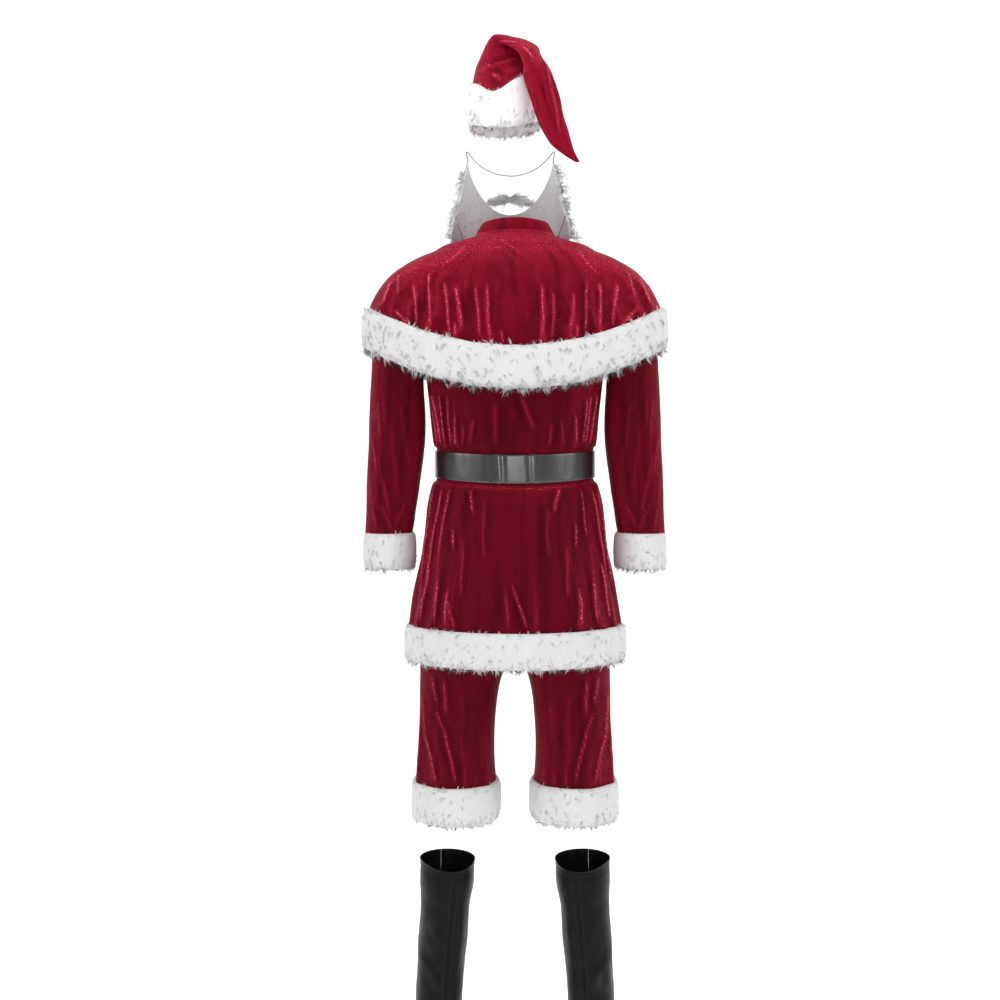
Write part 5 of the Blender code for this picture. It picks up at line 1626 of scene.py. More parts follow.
@dataclass
class Cape:
    """The shoulder cape: a back and two fronts, a stand collar and a deep fur hem."""

    free: BodySurface = BodySurface(CAPE_FREE_LEVELS)
    folded: BodySurface = BodySurface(CAPE_FREE_LEVELS, CAPE_FOLDS)
    seated_rows: int = 3
    last_row: int = 8
    back_columns: int = 340
    front_columns: int = 130
    fur_columns: int = 320
    steps_per_row: int = 7
    collar_top: Level = Level(0.0150, 0.0595, 0.0195, 0.0560, 0.0045, 0.0620)
    collar_columns: int = 170
    seed: float = 50.0
    collar_seed: float = 71.0
    throat_angle: float = TURN / 56
    unevenness: tuple[Swell, ...] = (Swell(0.0016, (20, 20, 9)), Swell(0.0006, (70, 70, 26), 2))
    collar_unevenness: tuple[Swell, ...] = (Swell(0.0006, (40, 40, 30)),)
    fur: FurTrim = FurTrim(
        proud=0.0215, height=0.082, pile=0.0200, density=14000, tousle=1.0, edge_pile=1.35,
        clump=0.0030, seed=2, core=0.60, upward=0.85, middle=0.32,
    )
    back_cut: Pair = (0.640, 0.250)
    back_area: float = 0.125
    front_cut: Pair = (0.330, 0.250)
    front_area: float = 0.062
    collar_cut: Pair = (0.360, 0.030)

    def surface(self, tunic: TunicShape, angle: Array, row: Array) -> Array:
        """The cape's outer points: on the tunic's yoke first, and free below it."""
        angle, row = np.broadcast_arrays(np.asarray(angle, float), np.asarray(row, float))
        line = angle[0] if angle.ndim == 2 else angle
        down = row[:, 0] if row.ndim == 2 else row
        rings = []
        for number in range(self.last_row + 1):
            level = np.full(line.shape, float(number))
            if number < self.seated_rows:
                rings.append(tunic(line, level) + (SEAT_GAP + VELVET_WALL) * outward(tunic, line, level))
            else:
                rings.append(self.free(line, level - self.seated_rows))
        whole = smooth_rows(np.array(rings), down)
        seat_angle, seat_row = np.meshgrid(line, np.minimum(down, self.seated_rows - 0.6))
        seated = tunic(seat_angle, seat_row)
        seated = seated + (SEAT_GAP + VELVET_WALL) * outward(tunic, seat_angle, seat_row)
        share = smoothstep(down, 1.5, 2.3)[:, None, None]
        return share * whole + (1 - share) * seated

    def grid(self, tunic: TunicShape, angles: Array, closed: bool, seed: float) -> ClothGrid:
        """A panel between two angles, with its folds."""
        down = spread_rows(self.last_row, self.steps_per_row)
        angle, row = np.meshgrid(angles, down)
        grid = ClothGrid(self.surface(tunic, angle, row), closed)
        grid.raise_by(self.folded.relief(angle, row))
        # Painted highlight on the fold ridges, and painted shade in the dips beside them.
        grid.crest, grid.hollow = 0.35 * self.folded.crests(angle, row), self.folded.hollows(angle, row)
        free = smoothstep(row, 1.8, 3.6) * (1 - 0.6 * smoothstep(row, 7.4, 8.0))
        grid.crumple(self.unevenness, seed, free)
        return grid

    def build(self, room: Workroom, tunic: TunicShape) -> None:
        """Make every piece of the cape."""
        quarter = math.pi / 2
        fur = self.build_fur(room, tunic)
        panels = (
            ("cape_back", 0.0, 2 * quarter, self.back_columns, True),
            ("cape_front_right", 2 * quarter, 3 * quarter, self.front_columns, False),
            ("cape_front_left", 3 * quarter, 4 * quarter, self.front_columns, False),
        )
        for name, start, end, columns, behind in panels:
            grid = self.grid(tunic, np.linspace(start, end, columns + 1), False, self.seed)
            grid.crease(CAPE_CREASES, behind, mirrored=not behind, drop=0.0 if behind else 0.004)
            grid.press_seam(True, True)
            grid.trim()
            piece = room.dress(grid.build(name, VELVET_WALL), room.cape_velvet, Slot.VELVET, name)
        self.build_collar(room, tunic)

    def build_fur(self, room: Workroom, tunic: TunicShape) -> Object:
        """The deep fur round the cape's hem."""
        grid = self.grid(tunic, np.linspace(0.0, TURN, self.fur_columns + 1), True, self.seed)
        edge, out = grid.points[-1, :-1], grid.normals()[-1, :-1]
        return self.fur.build(room, "cape_fur", edge, out, VELVET_WALL)

    def build_collar(self, room: Workroom, tunic: TunicShape) -> None:
        """The stand collar on the cape's neck edge, parted at the throat."""
        front = 3 * math.pi / 2
        angles = np.linspace(front + self.throat_angle, front + TURN - self.throat_angle, self.collar_columns)
        rows = np.array((0.0, 1.0))
        cape = self.surface(tunic, *np.meshgrid(angles, rows))
        foot = cape[0] + unit(cape[0] - cape[1]) * SEAM_GAP
        top = BodySurface((self.collar_top, self.collar_top))(angles, 0.0)
        share = np.linspace(0.0, 1.0, 13)[:, None, None]
        points = top * (1 - share) + foot * share
        grid = ClothGrid(points)
        grid.raise_by(0.0011 * np.sin(math.pi * share[..., 0]) + 0 * points[..., 0])
        grid.crumple(self.collar_unevenness, self.collar_seed)
        # Painted highlight along a line near the collar's foot.
        grid.crest = 0.7 * np.exp(-(((share[..., 0] - 0.93) / 0.08) ** 2)) + 0 * points[..., 0]
        collar = grid.build("cape_collar", VELVET_WALL)
        piece = room.dress(collar, room.cape_velvet, Slot.VELVET, "cape_collar")
        lines = [grid.points[row] + 0.0002 * grid.normals()[row] for row in (1, 11)]
        room.stitch("collar_stitching", lines, room.red_thread, Slot.VELVET)


@dataclass
class Belt:
    """The belt: a strap of black coated cloth round the waist, with a plain buckle in front."""

    rows: Pair = (9.0, 10.0)
    thickness: float = 0.0030
    columns: int = 260
    buckle_width: float = 0.078
    buckle_bar: float = 0.0085
    buckle_thickness: float = 0.0040
    overhang: float = 0.6
    row_shares: tuple[float, ...] = (0.0, 0.012, 0.05, 0.15, 0.3, 0.45, 0.6, 0.75, 0.87, 0.95, 0.988, 1.0)
    corner: float = 0.006
    seed: float = 91.0
    unevenness: tuple[Swell, ...] = (Swell(0.0005, (22, 22, 9)),)
    creases: tuple[Crease, ...] = in_metres(
        Crease,
        (23, -396, 21.5, -462, 3.2, -1.4, 0.8), (33, -398, 29, -460, 6, 0.8, 0),
        (-21.5, -396, -29, -462, 3.2, -1.3, -0.8), (-37, -398, -35, -460, 6, 0.8, 0),
        (95, -396, 92, -440, 6, -0.6, 0), (-93, -396, -89, -450, 6, -0.6, 0),
        (60, -400, 58, -455, 8, 0.4, 0),
    )

    def faces(self, tunic: TunicShape, angle: Array) -> tuple[Array, Array]:
        """The strap's outer edge points, top and bottom, and the level way out."""
        angles, rows = np.meshgrid(angle, np.array(self.rows))
        waist, out = tunic(angles, rows), outward(tunic, angles, rows)
        level = levelled(out)
        return waist + level * (SEAM_GAP + self.thickness), level

    def build(self, room: Workroom, tunic: TunicShape) -> None:
        """Make the strap and the buckle."""
        angle = np.linspace(0.0, TURN, self.columns + 1)
        edges, _ = self.faces(tunic, angle)
        share = np.array(self.row_shares)[:, None, None]
        points = edges[0] * (1 - share) + edges[1] * share
        grid = ClothGrid(points, closed=True)
        edge_turn = np.exp(-np.minimum(share, 1 - share)[..., 0] / 0.012)
        grid.raise_by(-0.0006 * edge_turn + 0 * points[..., 0])
        middle = np.sin(math.pi * share[..., 0]) + 0 * points[..., 0]
        grid.crumple(self.unevenness, self.seed, middle)
        grid.crease(self.creases)
        grid.crease(self.creases[:1], behind=False, mirrored=True)
        # Painted highlight along the crease ridges and the strap's turned edges.
        grid.crest = grid.crest * 0.4 + 0.9 * edge_turn * (1 + 0 * points[..., 0])
        strap = grid.build("belt_strap", self.thickness)
        room.dress(strap, room.belt_leather, Slot.FAUX_LEATHER, "belt_strap")
        self.build_buckle(room, tunic)

    def build_buckle(self, room: Workroom, tunic: TunicShape) -> None:
        """The rounded rectangular frame that follows the strap, and the prong across it."""
        angle = np.linspace(1.36 * math.pi, 1.64 * math.pi, 61)
        edges, _ = self.faces(tunic, angle)
        top, bottom = edges[0][30, 2], edges[1][30, 2]
        centre_z, tall = (top + bottom) / 2, (top - bottom) / 2 + self.buckle_bar * (self.overhang - 0.5)
        wide = self.buckle_width / 2 - self.buckle_bar / 2
        turn = np.linspace(0.0, TURN, 96, endpoint=False)
        reach = np.array((wide - self.corner, tall - self.corner))
        corner = np.sign(np.stack([np.cos(turn), np.sin(turn)], axis=-1))
        around = np.stack([np.cos(turn), np.sin(turn)], axis=-1)
        square = around / np.max(np.abs(around), axis=1, keepdims=True)
        flat = np.clip(square * np.array((wide, tall)), -reach, reach)
        flat = flat + unit(square * np.array((wide, tall)) - flat + 1e-9 * corner) * self.corner
        depth = np.interp(flat[:, 0], edges[0][:, 0], edges[0][:, 1])
        depth = depth - SEAT_GAP - self.buckle_thickness / 2
        middle = np.stack([flat[:, 0], depth, centre_z + flat[:, 1]], axis=-1)
        along = unit(np.roll(middle, -1, axis=0) - np.roll(middle, 1, axis=0))
        side = unit(np.cross(along, np.array((0.0, 1.0, 0.0))))
        section = np.linspace(0.0, TURN, 12, endpoint=False)
        circle = np.stack([np.cos(section), np.sin(section)])
        squash = np.abs(circle) ** 0.6 * np.sign(circle)
        inward = np.array((0.0, self.buckle_thickness / 2, 0.0))
        rings = [middle + side * (self.buckle_bar / 2 * across) + inward * out for across, out in squash.T]
        self.build_loop(room, "belt_buckle_frame", np.array(rings))
        inner = wide - self.buckle_bar / 2 - SEAM_GAP
        x = np.linspace(-inner, inner, 25)
        y = np.interp(0 * x, edges[0][:, 0], edges[0][:, 1]) - SEAT_GAP - self.buckle_thickness / 2 - 0.0002
        line = np.stack([x, y, np.full(x.shape, centre_z)], axis=-1)
        radius = np.interp(np.abs(x) / inner, (0.0, 0.92, 1.0), (0.0016, 0.0016, 0.0009))
        mesh = tube_mesh("belt_buckle_prong", [(line, radius)], 14)
        prong = put("belt_buckle_prong_rod", mesh)
        room.dress(prong, room.metal, Slot.BUCKLE, "belt_buckle_prong")

    def build_loop(self, room: Workroom, node: str, rings: Array) -> None:
        """Skin rings of points into a closed loop of metal."""
        piece = put(f"{node}_rounded", wrapped_mesh(node, rings))
        room.dress(piece, room.metal, Slot.BUCKLE, node)


class TrouserLevel(NamedTuple):
    """One ring of the left half of the trousers, as hips and as a leg, and how far it is a leg."""

    z: float
    dip: float
    hip_width: float
    hip_back: float
    hip_front: float
    leg_outer: float
    leg_inner: float
    leg_back: float
    leg_front: float
    leg_share: float


@dataclass
class Trousers:
    """The knee trousers: four panels, a waistband, and fur round both knees."""

    columns: int = 60
    steps_per_row: int = 7
    belt_rows: Pair = (9.0, 10.0)
    band_thickness: float = 0.0030
    band_columns: int = 180
    band_gathers: int = 8
    knee_points: int = 81
    back_seed: float = 110.0
    front_seed: float = 120.0
    unevenness: tuple[Swell, ...] = (Swell(0.0016, (18, 18, 7)), Swell(0.0006, (64, 64, 20), 4))
    fur: FurTrim = FurTrim(
        proud=0.0120, height=0.074, pile=0.0145, density=17500, tousle=0.9, edge_pile=0.95,
        clump=0.0014, seed=9, core=0.64,
    )
    panel_cut: Pair = (0.270, 0.560)
    panel_area: float = 0.130
    levels: tuple[TrouserLevel, ...] = in_metres(
        TrouserLevel,
        (-448, 6, 138.8, 95.2, 99.2, 170, 0.2, 100, 100, 0.00),
        (-500, 3, 146, 103, 104, 170, 0.2, 100, 100, 0.00),
        (-570, 0, 152, 113, 108, 170, 0.2, 100, 100, 0.00),
        (-640, 0, 158, 116, 108, 170, 0.2, 100, 98, 0.08), (-695, 0, 164, 112, 104, 170, 0.2, 99, 96, 0.30),
        (-740, 0, 168, 104, 98, 171, 0.2, 97, 94, 0.68), (-770, 0, 170, 100, 96, 172, 0.2, 94, 92, 1.00),
        (-795, 0, 172, 100, 96, 172.5, 19, 91, 90, 1.00), (-830, 0, 173, 100, 96, 173, 29, 88, 88, 1.00),
        (-875, 0, 173.5, 100, 96, 174, 34.5, 86, 86, 1.00),
        (-920, 0, 175.5, 100, 96, 176, 37, 85, 85, 1.00),
        (-960, 0, 178, 100, 96, 178.5, 36.5, 84, 84, 1.00),
        (-993, 0, 180, 100, 96, 180.5, 33.5, 83, 83, 1.00),
        shares=1,
    )
    folds: tuple[Fold, ...] = (
        Fold(25, 9.0, 0.0040, 8.0, 10), Fold(70, 9.0, 0.0035, 8.5, 11), Fold(140, 9.0, 0.0035, 8.0, 11),
        Fold(215, 9.0, 0.0035, 8.0, 11), Fold(290, 9.0, 0.0040, 8.5, 11), Fold(335, 9.0, 0.0035, 8.0, 10),
    )

    def surface(self, angle: Array, row: Array, front: bool) -> Array:
        """Outer points of a left panel: angle 0 at the outer side, pi at the inner or centre seam."""
        columns = np.moveaxis(smooth_rows(self.levels, row), -1, 0)
        z, dip, hip_width, hip_back, hip_front, outer, inner, leg_back, leg_front, share = columns
        side = -1.0 if front else 1.0
        hip_depth, leg_depth = (hip_front, leg_front) if front else (hip_back, leg_back)
        hip = np.stack([hip_width * np.cos(angle / 2), side * hip_depth * np.sin(angle / 2)], axis=-1)
        lift = self.draping().relief(TURN - angle if front else angle, row)
        centre, radius = (outer + inner) / 2, (outer - inner) / 2
        across, along = centre + (radius + lift) * np.cos(angle), side * (leg_depth + lift) * np.sin(angle)
        leg = np.stack([across, along], axis=-1)
        flat = (1 - share[..., None]) * hip + share[..., None] * leg
        height = z - dip * np.sin(angle / 2) ** 2
        return np.concatenate([flat, height[..., None]], axis=-1)

    def draping(self) -> BodySurface:
        """The legs' folds."""
        return BodySurface(TUNIC_LEVELS, self.folds)

    def panel(self, front: bool) -> ClothGrid:
        """A left panel, from the waist to the knee."""
        rows = spread_rows(len(self.levels) - 1, self.steps_per_row)
        angle, row = np.meshgrid(np.linspace(0.0, math.pi, self.columns + 1), rows)
        # The legs get less painted highlight on their sides and top.
        grid = ClothGrid(self.surface(angle, row, front), flipped=front, crushing=0.45)
        round_leg = TURN - angle if front else angle
        # Painted highlight on the fold ridges, and painted shade in the dips beside them.
        grid.crest = 0.3 * self.draping().crests(round_leg, row)
        grid.hollow = 0.7 * self.draping().hollows(round_leg, row)
        free = smoothstep(row, 6.0, 8.5) * (1 - 0.7 * smoothstep(row, 11.3, 12.0))
        share = angle / math.pi
        free = free * np.maximum(smoothstep(share, 0.0, 0.1) * smoothstep(1 - share, 0.0, 0.1), 0.2)
        grid.crumple(self.unevenness, self.front_seed if front else self.back_seed, free)
        grid.crease(LEG_CREASES, behind=not front, drop=0.008 if front else 0.0)
        grid.press_seam(True, True)
        grid.trim()
        return grid

    def build(self, room: Workroom, tunic: TunicShape) -> None:
        """Make every piece of the trousers."""
        furs = self.build_furs(room)
        for name, front in (("back", False), ("front", True)):
            left = self.panel(front)
            for side, grid in (("left", left), ("right", left.mirrored())):
                label = f"trouser_{name}_{side}"
                piece = room.dress(grid.build(label, VELVET_WALL), room.velvet, Slot.VELVET, label)
        turn = np.linspace(0.0, TURN, self.band_columns + 1)
        angles, rows = np.meshgrid(turn, np.array(self.belt_rows))
        waist, out = tunic(angles, rows), outward(tunic, angles, rows)
        level = levelled(out)
        edges = waist - level * (VELVET_WALL + SEAT_GAP)
        share = np.linspace(0.0, 1.0, 9)[:, None, None]
        grid = ClothGrid(edges[0] * (1 - share) + edges[1] * share, closed=True)
        gathers = 0.0004 * np.sin(share[..., 0] * self.band_gathers * math.pi) ** 2
        grid.raise_by(-0.0009 - gathers + 0 * grid.points[..., 0])
        band = grid.build("trouser_waistband", self.band_thickness - 0.0009)
        room.dress(band, room.velvet, Slot.VELVET, "trouser_waistband")

    def build_furs(self, room: Workroom) -> dict[str, Object]:
        """The fur round both knees."""
        turn = np.linspace(0.0, math.pi, self.knee_points)
        row = np.full(turn.shape, len(self.levels) - 1.0)
        back, front = self.surface(turn, row, False), self.surface(turn, row, True)
        edge = np.concatenate([back, front[-2:0:-1]])
        centre = edge.mean(axis=0)
        along = np.roll(edge, -1, axis=0) - np.roll(edge, 1, axis=0)
        out = unit(np.cross(np.array((0.0, 0.0, -1.0)), along))
        out = out * np.sign(((edge - centre) * out).sum(axis=1, keepdims=True))
        mirror = np.array((-1.0, 1.0, 1.0))
        places = {"left": (edge, out), "right": ((edge * mirror)[::-1], (out * mirror)[::-1])}
        return {
            side: self.fur.build(room, f"knee_fur_{side}", *place, VELVET_WALL)
            for side, place in places.items()
        }


class BootRing(NamedTuple):
    """One ring of the left boot cover."""

    z: float
    dip: float
    centre_x: float
    half_width: float
    back_depth: float
    front_depth: float


@dataclass
class BootCovers:
    """Two boot covers of black coated cloth, each with a seam behind and in front."""

    wall: float = 0.0015
    toe_out: float = math.radians(15.0)
    columns: int = 46
    steps_per_row: int = 10
    hem_row: float = 0.42
    seed: float = 130.0
    unevenness: tuple[Swell, ...] = (Swell(0.0020, (16, 16, 15)), Swell(0.0007, (46, 46, 40), 3))
    panel_cut: Pair = (0.260, 0.450)
    panel_area: float = 0.074
    rings: tuple[BootRing, ...] = in_metres(
        BootRing,
        (-1138, 11, 123, 49, 56, 54), (-1179, 6, 124, 48.5, 57, 52), (-1230, 0, 127.5, 44, 54, 48),
        (-1320, 0, 134, 43.2, 50.5, 45), (-1420, 0, 140.5, 43, 48.5, 46), (-1500, 0, 144.5, 44.5, 50, 60),
        (-1545, 0, 146, 48, 56, 95), (-1578, 0, 147, 52, 62, 132),
    )

    def surface(self, angle: Array, row: Array) -> Array:
        """The left cover's outer points, turned out with the foot."""
        z, dip, centre_x, half_width, back, front = np.moveaxis(smooth_rows(self.rings, row), -1, 0)
        sine, cosine = np.sin(angle), np.cos(angle)
        across, along = half_width * cosine, np.where(sine >= 0, back, front) * sine
        turned_x = across * math.cos(self.toe_out) - along * math.sin(self.toe_out)
        turned_y = across * math.sin(self.toe_out) + along * math.cos(self.toe_out)
        return np.stack([centre_x + turned_x, turned_y, z - dip * np.clip(sine, 0, 1) ** 2], axis=-1)

    def panel(self, start: float, seed: float) -> ClothGrid:
        """One left panel, half way round from an angle."""
        rows = spread_rows(len(self.rings) - 1, self.steps_per_row)
        angle, row = np.meshgrid(start + np.linspace(0.0, math.pi, self.columns + 1), rows)
        grid = ClothGrid(self.surface(angle, row))
        below = smoothstep(row, 0.5, 1.5)
        grid.crumple(self.unevenness, seed, below)
        grid.crease(BOOT_CREASES)
        grid.crease(BOOT_CREASES, behind=False, drop=-0.020)
        grid.crease(BOOT_CREASES, behind=False, drop=0.130)
        hem = 0.0012 * np.exp(-((row / 0.10) ** 2)) - 0.0008 * np.exp(-(((row - self.hem_row) / 0.06) ** 2))
        grid.raise_by(hem)
        # Painted highlight along the crease ridges and the rolled top hem.
        grid.crest = np.maximum(grid.crest * 0.5, 0.8 * np.exp(-((row / 0.06) ** 2)))
        grid.press_seam(True, True, depth=0.0014, reach=0.0035)
        grid.trim()
        return grid

    def build(self, room: Workroom) -> None:
        """Make both covers and their stitching."""
        lines = []
        for name, start in (("outer", -math.pi / 2), ("inner", math.pi / 2)):
            left = self.panel(start, self.seed + start)
            for side, grid in (("left", left), ("right", left.mirrored())):
                label = f"boot_{name}_{side}"
                piece = room.dress(grid.build(label, self.wall), room.boot_leather, Slot.FAUX_LEATHER, label)
                hem = int(round((self.hem_row - 0.1) * self.steps_per_row))
                raised = grid.points + 0.0002 * grid.normals()
                lines += [raised[hem, 1:-1], raised[hem:, 2], raised[hem:, -3]]
        room.stitch("boot_stitching", lines, room.thread, Slot.FAUX_LEATHER)


class HatRing(NamedTuple):
    """One ring of the hat's folded cone, from its outer to its inner side, and its turn."""

    outer_x: float
    outer_z: float
    inner_x: float
    inner_z: float
    middle_y: float
    half_depth: float
    turned: float


@dataclass
class Hat:
    """The hat: a soft velvet cone folded over to one side, and a fur band round the head."""

    wall: float = 0.0015
    tip_wall: float = 0.3
    back_dip: float = 0.030
    foot_dip: float = 0.022
    lowest: float = 1.24
    band_points: int = 220
    seed: float = 160.0
    unevenness: tuple[Swell, ...] = (Swell(0.0022, (20, 20, 20)), Swell(0.0007, (60, 60, 60), 5))
    columns: int = 52
    steps_per_row: int = 8
    cut: Pair = (0.250, 0.360)
    area: float = 0.038
    creases: tuple[Crease, ...] = in_metres(
        Crease,
        (-53, 283, -60, 232, 2.6, 1.4, 1), (-60, 236, -75, 152, 2.2, 1.2, 2),
        (-40, 262, -52, 200, 2.4, -1.4, 1), (-11, 313.5, -31, 283, 3, 1.6, 1),
        (45, 288, -4, 305, 4.2, -3.8, 2), (40, 272, 26, 256, 3.6, 2, 1), (62, 280, 30, 290, 4, 1.6, 1),
        (-20, 268, 12, 250, 4, 1.4, 1), (30, 330, -6, 322, 3, 1.4, -1),
    )
    fur: FurTrim = FurTrim(
        proud=0.0160, height=0.082, pile=0.0165, density=17500, tousle=0.9, edge_pile=0.95,
        # The hat band takes the lighter copy of the fur, painted light.
        clump=0.0018, seed=14, core=0.62, upward=0.7, bright=True,
    )
    rings: tuple[HatRing, ...] = in_metres(
        HatRing,
        (78, 266, -49, 273, -5, 91, 0.00), (71.5, 296, -44, 293, 3, 71, 0.05),
        (55, 328, -36, 309, 13, 56, 0.20), (33, 346, -23, 318, 28, 46, 0.50),
        (9, 345.5, -14.5, 319.5, 45, 40, 0.79), (-12, 332.5, -15.7, 312, 64, 34, 0.83),
        (-31.5, 314.5, -16.8, 299, 82, 28, 0.68), (-49, 291, -14, 278, 98, 24.5, 0.38),
        (-62, 267, -13.5, 254, 108, 21.5, 0.15), (-74, 229, -24.5, 218, 114, 19.5, 0.00),
        (-86, 182, -38.5, 173, 118, 16.5, 0.00), (-95.5, 146, -59, 139, 118, 12, 0.00),
        (-103, 124, -82, 119, 118, 8, 0.00), (-112, 107, -104, 105, 118, 3.5, 0.00),
        shares=1,
    )

    def dip(self, angle: Array) -> Array:
        """How far the velvet's edge dips at the back, most at its lowest place."""
        return self.back_dip * np.exp(-(((np.mod(angle, TURN) - self.lowest) / 0.55) ** 2))

    def surface(self, angle: Array, row: Array) -> Array:
        """Outer points: 0 on the cone's outer side, with the back of the head at a quarter turn."""
        angle, row = np.broadcast_arrays(np.asarray(angle, float), np.asarray(row, float))
        columns = np.moveaxis(smooth_rows(self.rings, row), -1, 0)
        outer_x, outer_z, inner_x, inner_z, middle_y, depth, turned = columns
        share = (1 + np.cos(angle)) / 2
        dip = np.clip(1 - row / 2, 0, 1) * self.dip(angle)
        across = inner_x + (outer_x - inner_x) * share + depth * turned * np.sin(angle)
        along = middle_y + depth * np.sqrt(1 - turned**2) * np.sin(angle)
        return np.stack([across, along, inner_z + (outer_z - inner_z) * share - dip], axis=-1)

    def build(self, room: Workroom) -> None:
        """Make both halves and the band."""
        turn = np.linspace(0.0, TURN, self.band_points, endpoint=False)
        edge, out = self.surface(turn, 0 * turn), -outward(self.surface, turn, 0 * turn)
        level_foot = self.foot_dip * np.clip(np.sin(turn), 0, 1) ** 2 - self.dip(turn)
        band = self.fur.build(room, "hat_fur_band", edge, out, self.wall, 1.0, level_foot)
        rows = spread_rows(len(self.rings) - 1, self.steps_per_row)
        depth = smooth_rows(np.array([[ring.half_depth] for ring in self.rings]), rows)[:, 0]
        wall = np.minimum(self.wall, self.tip_wall * np.maximum(depth, 0.002))
        for name, start in (("hat_back", 0.0), ("hat_front", math.pi)):
            angle, row = np.meshgrid(start + np.linspace(0.0, math.pi, self.columns + 1), rows)
            grid = ClothGrid(self.surface(angle, row), flipped=True)
            loose = smoothstep(row, 0.3, 1.5) * (1 - 0.8 * smoothstep(row, 9.5, 12.0))
            grid.crumple(self.unevenness, self.seed, loose)
            grid.crease(self.creases, behind=name == "hat_back", drop=0.0 if name == "hat_back" else 0.004)
            grid.press_seam(True, True, depth=0.0006, reach=0.004)
            grid.trim()
            piece = room.dress(grid.build(name, wall), room.hat_velvet, Slot.VELVET, name)


class BeardLevel(NamedTuple):
    """One level of the beard: its height and reach at the ears and in front, and its fullness."""

    ear_z: float
    half_width: float
    chin_z: float
    depth: float
    fullness: float


